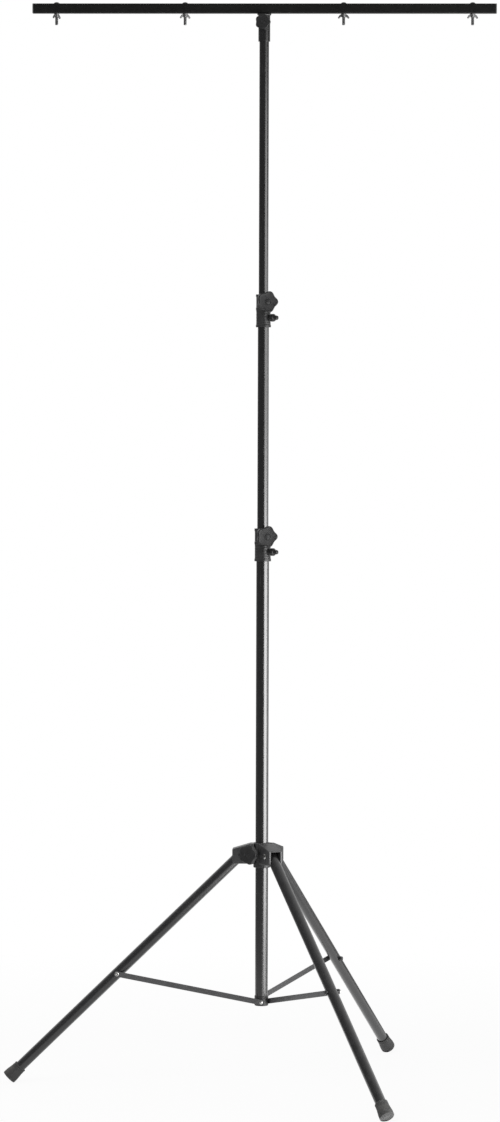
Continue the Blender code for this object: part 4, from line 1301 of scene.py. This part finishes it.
    def _sleeve(self, dresser: Dresser, x: float) -> None:
        """Build the sleeve with its saddle and boss, and the small clamp knob.

        Args:
            dresser: Takes the finished pieces.
            x: Where the mast's axis is.
        """
        low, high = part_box("crossbar_sleeve")
        inner = self.tube_radius + CLEARANCE
        outer = inner + self.sleeve_wall
        end = high.z - self.saddle[2] / 2
        sleeve = Shape.turned([(outer, end), (outer, low.z), (inner, low.z), (inner, end)], MOULDED_SIDES,
                              ring=True, rounding=self.sleeve_rounding)
        sleeve.placed(along_z(x, 0))
        saddle = Shape.block(self.saddle, (x, 0, end), self.saddle_rounding)
        clamp = outward(x, high.z - self.clamp_below_bar, self.clamp_azimuth)
        boss_end = outer + self.boss_reach
        boss = Shape.stub(self.boss_radius, outer - self.boss_root, boss_end, self.boss_chamfer)
        sleeve.changed(Fuse.JOIN, (saddle, boss.placed(clamp)))
        sleeve.beside(self._weld(outer).placed(along_z(x, high.z - self.saddle[2])))
        dresser.piece("bar_sleeve", sleeve, "crossbar", MAST_PAINT, ("crossbar_sleeve",))
        knob = StarKnob("crossbar", "crossbar_clamp", "crossbar_knob", self.knob, boss_end + CLEARANCE,
                        self.knob_neck)
        knob.build(dresser, clamp)
        dresser.keep("crossbar_clamp_screw", BLACK_STEEL)

    def _weld(self, radius: float) -> Shape:
        """Build the weld bead round the sleeve, under its saddle, with its ripples.

        Args:
            radius: The sleeve's outer radius.

        Returns:
            The bead, with z = 0 at the saddle's underside.
        """
        section = arc((radius, 0.0), self.weld, 0.0, 2 * pi, self.weld_sides)[:-1]
        bead = Shape.turned(section, self.ripple_steps * self.weld_ripples, ring=True)
        for vert in bead.bm.verts:
            way = Vector((vert.co.x, vert.co.y, 0.0)).normalized()
            swell = self.weld_swell * cos(self.weld_ripples * way.xy.angle_signed(AHEAD))
            vert.co += (vert.co - way * radius) * swell
        return bead


@dataclass
class WingNut:
    """Pressed wing nut: a tapered barrel with two wings that sweep down and out."""

    height: float = 0.0095
    top_radius: float = 0.0066
    foot_radius: float = 0.0056
    hole: float = 0.0043
    barrel_rounding: float = 0.0004
    span: float = 0.0295
    drop: float = 0.0130
    thickness: float = 0.0034
    wing_rounding: float = 0.0007
    root: float = 0.0048             # where a wing starts, inside the barrel
    root_top: float = 0.0010         # below the seat
    root_foot: float = 0.0084        # below the seat
    # a wing's upper and lower corners, in from its tip and below the seat
    shoulder: Steps = ((0.0074, 0.0022), (0.0046, 0.0036), (0.0024, 0.0066))
    waist: Steps = ((0.0068, 0.0098),)
    tip_radius: float = 0.0024
    tip_from: float = pi / 3
    tip_turn: float = -4 * pi / 3
    tip_steps: int = 8

    def outline(self, side: int) -> Corners:
        """Corners of one wing, with z = 0 at the nut's seat.

        Args:
            side: -1 or 1.

        Returns:
            The corners, in order round the wing.
        """
        tip = self.span / 2
        corners = [(self.root, -self.root_top), *stepped(tip, 0.0, self.shoulder)]
        corners += arc((tip - self.tip_radius, self.tip_radius - self.drop), self.tip_radius, self.tip_from,
                       self.tip_turn, self.tip_steps)
        corners += [*stepped(tip, 0.0, self.waist), (self.root, -self.root_foot)]
        return [(side * x, z) for x, z in corners]

    def build(self, dresser: Dresser, number: int, x: float, seat: float, turn: float) -> None:
        """Build the nut.

        Args:
            dresser: Takes the finished piece.
            number: Which bolt it is on.
            x: Where the bolt is along the bar.
            seat: Height of the bar's underside.
            turn: How far the nut is turned.
        """
        barrel = Shape.turned([(self.top_radius, 0), (self.foot_radius, -self.height),
                               (self.hole, -self.height), (self.hole, 0)], BOSS_SIDES, ring=True,
                              rounding=self.barrel_rounding)
        wings = []
        for side in (-1, 1):
            wing = Shape.sheet(self.outline(side), self.thickness, self.wing_rounding, segments=3)
            wings.append(wing.tidied().placed(UPRIGHT))
        barrel.changed(Fuse.JOIN, wings)
        place = Matrix.Translation((x, 0, seat)) @ Matrix.Rotation(turn, 4, 'Z')
        dresser.piece(f"pressed_wing_nut_{number}", barrel.placed(place), f"wing_nut_{number}", DULL_ZINC,
                      (f"wing_nut_{number}",))


@dataclass
class Hub:
    """Sliding hub: a ring with three forked arms and a boss, its pins and its knob."""

    column_radius: float = COLUMN_RADIUS
    leg_radius: float = LEG_RADIUS
    wall: float = 0.005
    above: float = 0.031
    below: float = 0.034
    ring_rounding: float = 0.0014
    edge_rounding: float = 0.0009
    arm_reach: float = 0.0765
    arm_below: float = 0.023
    cheek: float = 0.0054
    cheek_rounding: float = 0.0020
    side_gap: float = 0.0006         # beside a leg in its slot
    roof: float = 0.003
    top_at_hub: float = 0.029
    top_at_end: float = 0.016
    flat_to: float = 0.030           # where an arm's top starts to fall
    top_corner: float = 0.003
    top_steps: int = 4
    foot_corner: float = 0.006
    foot_steps: int = 5
    web: float = 0.0015              # between the ring and a slot
    pivot_radius: float = 0.054
    pin_radius: float = 0.004
    pin_head_radius: float = 0.0065
    pin_head: float = 0.0025
    pin_head_edge: float = 0.0019    # width of a head's slope
    pin_short: float = 0.001         # how far the pin ends short of the face
    pin_rounding: float = 0.0003
    boss_radius: float = 0.0100
    boss_slope: float = 0.0004       # how much wider it is at its root
    boss_reach: float = 0.018
    knob: KnobSize = KnobSize(0.0265, 0.0220, 0.0150, 0.0105)
    knob_azimuth: float = radians(-120)
    knob_above: float = 0.005
    knob_start: float = 0.0575       # from the axis to the lobes' underside

    def arm_outline(self, root: float) -> Corners:
        """Side view of an arm, as distance from the mast's axis and height above the pivot.

        Args:
            root: Where the arm starts, inside the ring.

        Returns:
            The corners in order.
        """
        top, foot = self.top_corner, self.foot_corner
        corners = [(root, self.top_at_hub), (self.flat_to, self.top_at_hub)]
        corners += arc((self.arm_reach - top, self.top_at_end - top), top, pi / 2, -pi / 2, self.top_steps)
        corners += arc((self.arm_reach - foot, foot - self.arm_below), foot, 0.0, -pi / 2, self.foot_steps)
        return corners + [(root, -self.arm_below)]

    def slot_outline(self, pocket: float) -> Corners:
        """Side view of the slot that is cut from an arm, under its sloping roof.

        Args:
            pocket: Where the slot starts, outside the ring.

        Returns:
            The corners in order.
        """
        ceiling = self.top_at_hub - self.roof
        fall = (self.top_at_hub - self.top_at_end) / (self.arm_reach - self.flat_to)
        past = self.arm_reach + OVERRUN
        under = -self.below - OVERRUN
        return [(pocket, ceiling), (self.flat_to, ceiling),
                (past, self.top_at_hub - fall * (past - self.flat_to) - self.roof), (past, under),
                (pocket, under)]

    def build(self, dresser: Dresser, x: float) -> None:
        """Build the hub, its pivot pins and its knob.

        Args:
            dresser: Takes the finished pieces.
            x: Where the mast's axis is.
        """
        pivot = dresser.pivot("leg_fold_left").z
        inner = self.column_radius + RUNNING_GAP
        outer = inner + self.wall
        root = (inner + outer) / 2
        ring = Shape.turned([(outer, self.above), (outer, -self.below), (inner, -self.below),
                             (inner, self.above)], MOULDED_SIDES, ring=True, rounding=self.ring_rounding)
        slot_width = 2 * (self.leg_radius + self.side_gap)
        arm_width = slot_width + 2 * self.cheek
        arms, slots = [], []
        for side in Side:
            turn = Matrix.Rotation(side.azimuth, 4, 'Z') @ UPRIGHT
            arm = Shape.sheet(self.arm_outline(root), arm_width, self.cheek_rounding, segments=3)
            arms.append(arm.tidied().placed(turn))
            slot = Shape.sheet(self.slot_outline(outer + self.web), slot_width)
            slots.append(slot.tidied().placed(turn))
        boss_end = outer + self.boss_reach
        boss = Shape.turned([(0, boss_end), (self.boss_radius, boss_end),
                             (self.boss_radius + self.boss_slope, root), (0, root)], GRIP_SIDES)
        boss.placed(outward(0, self.knob_above, self.knob_azimuth))
        top, end = self.above + OVERRUN, -self.below - OVERRUN
        bore = Shape.turned([(0, top), (inner, top), (inner, end), (0, end)], MOULDED_SIDES)
        ring.changed(Fuse.JOIN, [*arms, boss]).changed(Fuse.CUT, [*slots, bore])
        ring.softened(self.edge_rounding)
        dresser.piece("forked_hub", ring.placed(along_z(x, pivot)), "hub", HUB_NYLON, ("hub",))
        for side in Side:
            self._pin(dresser, side, x, pivot, arm_width / 2 + CLEARANCE)
        knob = StarKnob("hub", "hub_clamp", "hub_knob", self.knob, boss_end + CLEARANCE,
                        self.knob_start - boss_end - CLEARANCE)
        knob.build(dresser, outward(x, pivot + self.knob_above, self.knob_azimuth))
        dresser.keep("hub_clamp_screw", BLACK_STEEL)

    def _pin(self, dresser: Dresser, side: Side, x: float, pivot: float, face: float) -> None:
        """Build a leg's pivot pin: a bright head at one end and a dark pressed cap at the other.

        Args:
            dresser: Takes the finished pieces.
            side: The leg.
            x: Where the mast's axis is.
            pivot: Height of the pins.
            face: From the arm's middle to the face of a head.
        """
        head = face + self.pin_head
        rim = head - self.pin_head / 2
        start = face - self.pin_short
        flat = self.pin_head_radius - self.pin_head_edge
        pin = Shape.turned([(0, start), (self.pin_radius, start), (self.pin_radius, -face),
                            (self.pin_head_radius, -face), (self.pin_head_radius, -rim), (flat, -head),
                            (0, -head)], FASTENER_SIDES, rounding=self.pin_rounding)
        cap = Shape.turned([(0, head), (flat, head), (self.pin_head_radius, rim),
                            (self.pin_head_radius, face), (0, face)], FASTENER_SIDES,
                           rounding=self.pin_rounding)
        place = (along_z(x, pivot) @ Matrix.Rotation(side.azimuth, 4, 'Z')
                 @ Matrix.Translation((self.pivot_radius, 0, 0)) @ CROSSWISE)
        node = f"leg_pivot_pin_{side.label}"
        dresser.piece(f"pivot_pin_{side.label}", pin.placed(place), "hub", ZINC, (node,))
        dresser.piece(f"pivot_pin_cap_{side.label}", cap.placed(place), "hub", BLACK_STEEL, (node,))


@dataclass
class Leg:
    """Leg tube with its plug, strut bolt and ribbed rubber foot."""

    side: Side
    radius: float = LEG_RADIUS
    wall: float = TUBE_WALL
    length: float = 0.846
    spread: float = radians(45.8)    # from upright
    above_pivot: float = 0.004
    tube_rounding: float = 0.0003
    to_strut: float = 0.450          # from the pivot down the leg
    strut_face: float = 0.0183       # inner face of the strut
    bolt_radius: float = 0.003
    thread_depth: float = 0.0004
    pitch: float = 0.0008
    thread_spare: float = 0.0004     # plain length at the bolt's end
    bolt_chamfer: float = 0.0006
    spacer_radius: float = 0.0050
    spacer_chamfer: float = 0.0003
    washer_radius: float = 0.0065
    washer_edge: tuple[float, float] = (0.0002, 0.0003)
    washer: float = 0.0012
    nut_radius: float = 0.0060
    nut: float = 0.0055
    nut_rounding: float = 0.0004
    cap_length: float = 0.043
    cap_top: float = 0.0170
    cap_end: float = 0.01925
    cap_floor: float = 0.006
    cap_collar: float = 0.013
    cap_base: float = 0.011
    # the lip of the foot and the groove under it, in and down from its upper corner
    cap_steps: Steps = ((0.0006, 0.0), (0.0, 0.0006), (0.0, 0.0040), (0.0009, 0.0048),
                        (0.0009, 0.0062), (0.0, 0.0070))
    ribs: int = 3
    ribs_spare: float = 0.0026       # length of the base without ribs
    # how far in, and how far down as a share of a rib
    rib_steps: Steps = ((0.0, 0.35), (0.0006, 0.55), (0.0006, 0.75), (0.0, 0.9))
    sole_edge: float = 0.0010
    sole_rings: tuple[float, ...] = (0.0150, 0.0115, 0.0080)
    # out from a ring's radius, and up from the sole
    sole_groove: Steps = ((0.0008, 0.0), (0.0003, 0.0008), (-0.0003, 0.0008), (-0.0008, 0.0))
    cap_rounding: float = 0.0002

    def build(self, dresser: Dresser) -> None:
        """Build the leg.

        Args:
            dresser: Takes the finished pieces.
        """
        label = self.side.label
        pivot = dresser.pivot(f"leg_fold_{label}")
        place = (Matrix.Translation(pivot) @ Matrix.Rotation(self.side.azimuth, 4, 'Z')
                 @ Matrix.Rotation(-self.spread, 4, 'Y'))
        body = f"leg_{label}"
        end = -self.length + self.cap_floor + CLEARANCE
        inner = self.radius - self.wall
        tube = Shape.turned([(self.radius, self.above_pivot), (self.radius, end), (inner, end),
                             (inner, self.above_pivot)], LEG_SIDES, ring=True, rounding=self.tube_rounding)
        dresser.piece(f"leg_painted_{label}", tube.placed(place), body, LEG_PAINT, (f"leg_tube_{label}",))
        dresser.keep(f"leg_plug_{label}", COLLAR_NYLON)
        self._bolt(dresser, place, body)
        self._foot(dresser, place, body)

    def _bolt(self, dresser: Dresser, place: Matrix, body: str) -> None:
        """Build the strut's bolt with its spacer, washer and nut.

        Args:
            dresser: Takes the finished piece.
            place: The leg's place, with Z up its tube and the pivot at 0.
            body: The leg's body.
        """
        skin = self.radius + CLEARANCE
        washer_end = -skin - self.washer
        nut_end = washer_end - self.nut
        shank_end = nut_end - self.bolt_radius / 2
        spacer_end = self.strut_face - CLEARANCE
        crest = self.bolt_radius
        profile = [(0, spacer_end), (self.spacer_radius - self.spacer_chamfer, spacer_end),
                   (self.spacer_radius, spacer_end - self.spacer_chamfer), (self.spacer_radius, skin),
                   (crest, skin), (crest, -skin), (self.washer_radius - self.washer_edge[0], -skin),
                   (self.washer_radius, -skin - self.washer_edge[1]), (self.washer_radius, washer_end),
                   (crest, washer_end), (crest, nut_end)]
        profile += thread(crest, self.thread_depth, self.pitch, nut_end, shank_end + self.thread_spare)
        profile += [(crest - self.bolt_chamfer, shank_end), (0, shank_end)]
        bolt = Shape.turned(profile, FASTENER_SIDES)
        nut = Shape.hexagon(self.nut_radius, self.nut, self.nut_rounding)
        nut.placed(Matrix.Translation((0, 0, (washer_end + nut_end) / 2)))
        bolt.beside(nut)
        at_strut = place @ Matrix.Translation((0, 0, -self.to_strut)) @ CROSSWISE
        dresser.piece(f"strut_screw_{self.side.label}", bolt.placed(at_strut), body, BLACK_STEEL,
                      (f"strut_bolt_{self.side.label}",))

    def _foot(self, dresser: Dresser, place: Matrix, body: str) -> None:
        """Build the rubber foot: a ribbed cap with grooves in its sole, cut flat where it stands.

        Args:
            dresser: Takes the finished piece.
            place: The leg's place, with Z up its tube and the pivot at 0.
            body: The leg's body.
        """
        top = self.cap_length - self.length
        base = self.cap_base - self.length
        end = -self.length
        floor = end + self.cap_floor
        inner = self.radius + CLEARANCE
        profile = [(0, floor), (inner, floor), (inner, top), *stepped(self.cap_top, top, self.cap_steps),
                   (self.cap_top, top - self.cap_collar), (self.cap_end, base)]
        step = (self.cap_base - self.ribs_spare) / self.ribs
        for number in range(self.ribs):
            high = base - number * step
            profile += [(self.cap_end - inward, high - share * step) for inward, share in self.rib_steps]
        profile += [(self.cap_end, end + self.sole_edge), (self.cap_end - self.sole_edge, end)]
        for ring in self.sole_rings:
            profile += [(ring + out, end + depth) for out, depth in self.sole_groove]
        profile += [(0, end)]
        foot = Shape.turned(profile, MOULDED_SIDES, rounding=self.cap_rounding).placed(place)
        cut = bmesh.ops.bisect_plane(foot.bm, geom=[*foot.bm.verts, *foot.bm.edges, *foot.bm.faces],
                                     dist=ON_PLANE, plane_co=(0, 0, 0), plane_no=(0, 0, 1),
                                     clear_inner=True)
        rim = [item for item in cut["geom_cut"] if isinstance(item, bmesh.types.BMEdge)]
        bmesh.ops.holes_fill(foot.bm, edges=rim, sides=0)
        dresser.piece(f"rubber_foot_{self.side.label}", foot.tidied(), body, FOOT_RUBBER,
                      (f"foot_cap_{self.side.label}",))


@dataclass
class Strut:
    """Flat strut with rounded ends, and the head of the bolt at its leg."""

    side: Side
    width: float = 0.014
    end_steps: int = 14
    thickness: float = 0.003
    rounding: float = 0.0005
    inner_face: float = 0.0183
    head_radius: float = 0.0055
    head_height: float = 0.0035
    head_chamfer: float = 0.0016
    head_rounding: float = 0.0002
    dimple_radius: float = 0.0020
    dimple_floor: float = 0.0016
    dimple: float = 0.0008
    shank_radius: float = 0.003

    def build(self, dresser: Dresser, leg: Leg) -> None:
        """Build the strut.

        Args:
            dresser: Takes the finished pieces.
            leg: The leg that it ties.
        """
        label = self.side.label
        foot = dresser.pivot(f"strut_fold_{label}")
        pivot = dresser.pivot(f"leg_fold_{label}")
        reach = hypot(pivot.x - foot.x, pivot.y - foot.y) + leg.to_strut * sin(leg.spread)
        rise = pivot.z - leg.to_strut * cos(leg.spread) - foot.z
        length = hypot(reach, rise)
        slope = Vector((reach, rise)).angle_signed(Vector((1.0, 0.0)))
        place = (Matrix.Translation(foot) @ Matrix.Rotation(self.side.azimuth, 4, 'Z')
                 @ Matrix.Rotation(-slope, 4, 'Y'))
        outline = arc((0.0, 0.0), self.width / 2, pi / 2, pi, self.end_steps)
        outline += arc((length, 0.0), self.width / 2, -pi / 2, pi, self.end_steps)
        middle = self.inner_face + self.thickness / 2
        bar = Shape.sheet(outline, self.thickness, self.rounding)
        bar.placed(place @ Matrix.Translation((0, middle, 0)) @ UPRIGHT)
        dresser.piece(f"flat_strut_{label}", bar.tidied(), f"strut_{label}", STRUT_PAINT,
                      (f"strut_{label}",))
        head = self.inner_face + self.thickness + CLEARANCE
        top = head + self.head_height
        bolt = Shape.turned([(0, top - self.dimple), (self.dimple_floor, top - self.dimple),
                             (self.dimple_radius, top), (self.head_radius - self.head_chamfer, top),
                             (self.head_radius, top - self.head_chamfer), (self.head_radius, head),
                             (self.shank_radius, head), (self.shank_radius, self.inner_face),
                             (0, self.inner_face)], FASTENER_SIDES, rounding=self.head_rounding)
        at_leg = place @ Matrix.Translation((length, 0, 0)) @ CROSSWISE
        dresser.piece(f"strut_screw_head_{label}", bolt.placed(at_leg), f"strut_{label}", ZINC,
                      (f"strut_bolt_head_{label}",))


@dataclass(frozen=True)
class SoftBox:
    """A rectangular lamp that looks at a point."""

    name: str
    place: tuple[float, float, float]
    target: tuple[float, float, float]
    width: float
    height: float
    power: float
    in_gloss: bool


@dataclass
class Studio:
    """White floor and backdrop, soft boxes and a pale world."""

    floor_size: float = 60.0
    floor_drop: float = 0.0003       # how far the floor lies under the feet
    floor_white: float = 0.80
    fill: float = 0.55               # strength of the world as a light
    plain_share: float = 0.93        # how much of the floor's plain white shows at the stand
    plain_from: float = 1.0          # how far from the middle that share starts to rise
    plain_at: float = 2.6            # and how far it is before only plain white shows
    lit_to: float = 1.3              # in reflections, how far out the floor is fully lit
    unlit_from: float = 2.6          # and how far it is before the floor is as dim as it gets
    dark_floor: float = 0.22         # how bright it still is there
    dark_end: float = 0.15           # in reflections, the world's strength where it is dark
    bright_way: tuple[float, float, float] = (0.0, 0.8, 0.9)    # the way to its bright part
    bright_range: tuple[float, float] = (0.50, 0.85)            # how nearly a ray points that way
    boxes: list[SoftBox] = field(default_factory=lambda: [
        SoftBox("key_box", (-3.2, -4.2, 4.6), (0.0, 0.0, 1.4), 5.0, 5.0, 260.0, False),
        SoftBox("low_panel", (2.64, -1.50, 0.75), (0.037, 0.0, 0.75), 3.0, 1.35, 130.0, True),
        SoftBox("middle_panel", (2.64, -1.50, 1.82), (0.037, 0.0, 1.82), 3.0, 0.75, 19.0, True),
        SoftBox("high_panel", (2.64, -1.50, 2.48), (0.037, 0.0, 2.48), 3.0, 0.55, 19.0, True),
        SoftBox("side_panel", (2.85, 0.90, 1.10), (0.037, 0.0, 1.10), 1.6, 2.40, 22.0, True),
        SoftBox("floor_strip", (1.55, -0.95, 0.004), (1.55, -0.95, 1.0), 2.4, 1.6, 40.0, True),
        SoftBox("floor_glow", (0.30, 0.70, 0.004), (0.30, 0.70, 1.0), 1.8, 1.2, 4.0, True),
    ])

    def build(self) -> None:
        """Build the floor, the world and the lamps."""
        self._floor()
        self._world()
        for box in self.boxes:
            self._lamp(box)

    @staticmethod
    def _seen(nodes: NodeTree) -> bpy.types.NodeSocket:
        """1 for a ray that shows the background: from the camera, a gloss or a clear body.

        Args:
            nodes: The material's node tree.

        Returns:
            The value.
        """
        path = nodes.add('ShaderNodeLightPath')
        seen = nodes.math('ADD', path.outputs['Is Camera Ray'], path.outputs['Is Glossy Ray'])
        return nodes.math('ADD', seen, path.outputs['Is Transmission Ray'], clamp=True)

    def _floor(self) -> None:
        """Build the floor: white, with the stand's shadow near it and plain white further off.

        In reflections its glow is painted light: bright near the stand, as if lit there, and dim further
        off.
        """
        bm = bmesh.new()
        bmesh.ops.create_grid(bm, x_segments=1, y_segments=1, size=self.floor_size / 2)
        bmesh.ops.translate(bm, vec=(0, 0, -self.floor_drop), verts=bm.verts)
        mesh = bpy.data.meshes.new("studio_floor")
        bm.to_mesh(mesh)
        bm.free()
        floor = bpy.data.objects.new("studio_floor", mesh)
        bpy.context.scene.collection.objects.link(floor)
        material = bpy.data.materials.new("white_floor")
        material.use_nodes = True
        tree = material.node_tree
        tree.nodes.clear()
        nodes = NodeTree(tree)
        lit = nodes.add('ShaderNodeBsdfDiffuse')
        white = self.floor_white
        lit.inputs['Color'].default_value = (white, white, white, 1.0)
        plain = nodes.add('ShaderNodeEmission')
        place = nodes.add('ShaderNodeTexCoord').outputs['Object']
        away = nodes.add('ShaderNodeVectorMath', operation='LENGTH')
        nodes.link(place, away.inputs[0])
        # painted light: for gloss rays the floor glows at full strength near the stand and fades to
        # dark_floor further off
        unlit = nodes.ramp(away.outputs['Value'], self.lit_to, self.unlit_from, 1.0, self.dark_floor)
        fade = nodes.add('ShaderNodeMix', data_type='FLOAT')
        nodes.link(nodes.add('ShaderNodeLightPath').outputs['Is Glossy Ray'], fade.inputs[0])
        fade.inputs[2].default_value = 1.0
        nodes.link(unlit, fade.inputs[3])
        nodes.link(fade.outputs[0], plain.inputs['Strength'])
        share = nodes.ramp(away.outputs['Value'], self.plain_from, self.plain_at, self.plain_share)
        mix = nodes.add('ShaderNodeMixShader')
        nodes.link(nodes.math('MULTIPLY', share, self._seen(nodes)), mix.inputs[0])
        nodes.link(lit.outputs[0], mix.inputs[1])
        nodes.link(plain.outputs[0], mix.inputs[2])
        nodes.link(mix.outputs[0], nodes.add('ShaderNodeOutputMaterial').inputs['Surface'])
        mesh.materials.append(material)

    def _world(self) -> None:
        """Build the world: white where it is seen, and dimmer as a light.

        In reflections it is bright behind and above the stand, and dark beside it and at the
        camera's end, as the unlit parts of a studio are.
        """
        world = bpy.data.worlds.new("pale_studio")
        world.use_nodes = True
        bpy.context.scene.world = world
        nodes = NodeTree(world.node_tree)
        background = world.node_tree.nodes['Background']
        background.inputs['Color'].default_value = (1.0, 1.0, 1.0, 1.0)
        toward = nodes.add('ShaderNodeVectorMath', operation='DOT_PRODUCT')
        nodes.link(nodes.add('ShaderNodeTexCoord').outputs['Generated'], toward.inputs[0])
        toward.inputs[1].default_value = self.bright_way
        mirrored = nodes.ramp(toward.outputs['Value'], *self.bright_range, self.dark_end)
        path = nodes.add('ShaderNodeLightPath')
        seen = nodes.math('ADD', path.outputs['Is Camera Ray'], path.outputs['Is Transmission Ray'],
                          clamp=True)
        shown = nodes.ramp(seen, 0.0, 1.0, self.fill)
        fade = nodes.add('ShaderNodeMix', data_type='FLOAT')
        nodes.link(path.outputs['Is Glossy Ray'], fade.inputs[0])
        nodes.link(shown, fade.inputs[2])
        nodes.link(mirrored, fade.inputs[3])
        nodes.link(fade.outputs[0], background.inputs['Strength'])

    @staticmethod
    def _lamp(box: SoftBox) -> None:
        """Build one soft box.

        Args:
            box: The soft box.
        """
        data = bpy.data.lights.new(box.name, 'AREA')
        data.shape = 'RECTANGLE'
        data.size = box.width
        data.size_y = box.height
        data.energy = box.power
        lamp = bpy.data.objects.new(box.name, data)
        bpy.context.scene.collection.objects.link(lamp)
        way = Vector(box.target) - Vector(box.place)
        lamp.location = box.place
        lamp.rotation_euler = way.to_track_quat('-Z', 'Y').to_euler()
        lamp.visible_camera = False
        lamp.visible_diffuse = not box.in_gloss
        lamp.visible_glossy = box.in_gloss


@dataclass
class PhotoCamera:
    """The photograph's viewpoint, fitted to the stand."""

    distance: float = 11.457
    height: float = 1.854
    azimuth: float = radians(1.888)
    pitch: float = radians(2.431)
    roll: float = radians(0.166)
    sideways: float = -0.033
    lens: float = 141.57
    sensor: float = 36.0
    sight: float = 200.0

    def build(self, x: float) -> None:
        """Build the camera.

        Args:
            x: Where the mast's axis is.
        """
        data = bpy.data.cameras.new("photo_camera")
        data.sensor_fit = 'AUTO'
        data.sensor_width = self.sensor
        data.lens = self.lens
        data.clip_end = self.sight
        camera = bpy.data.objects.new("photo_camera", data)
        bpy.context.scene.collection.objects.link(camera)
        camera.location = (x + self.sideways * cos(self.azimuth) + self.distance * sin(self.azimuth),
                           self.sideways * sin(self.azimuth) - self.distance * cos(self.azimuth),
                           self.height)
        camera.rotation_euler = (pi / 2 - self.pitch, 0, self.azimuth)
        camera.matrix_basis = camera.matrix_basis @ Matrix.Rotation(self.roll, 4, 'Z')
        bpy.context.scene.camera = camera


def main() -> None:
    """Build the camera, the studio and every sub-assembly, and set the view transform."""
    logging.basicConfig(level=logging.INFO, format="%(name)s %(message)s")
    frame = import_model()
    dresser = Dresser(frame, PaintShop())
    low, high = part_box("column_tube")
    x = (low.x + high.x) / 2
    PhotoCamera().build(x)
    Studio().build()
    Mast().build(dresser, x)
    Crossbar().build(dresser, x)
    Hub().build(dresser, x)
    for side in Side:
        leg = Leg(side)
        leg.build(dresser)
        Strut(side).build(dresser, leg)
    bpy.context.scene.view_settings.view_transform = 'Standard'


if __name__ == "__main__":
    main()
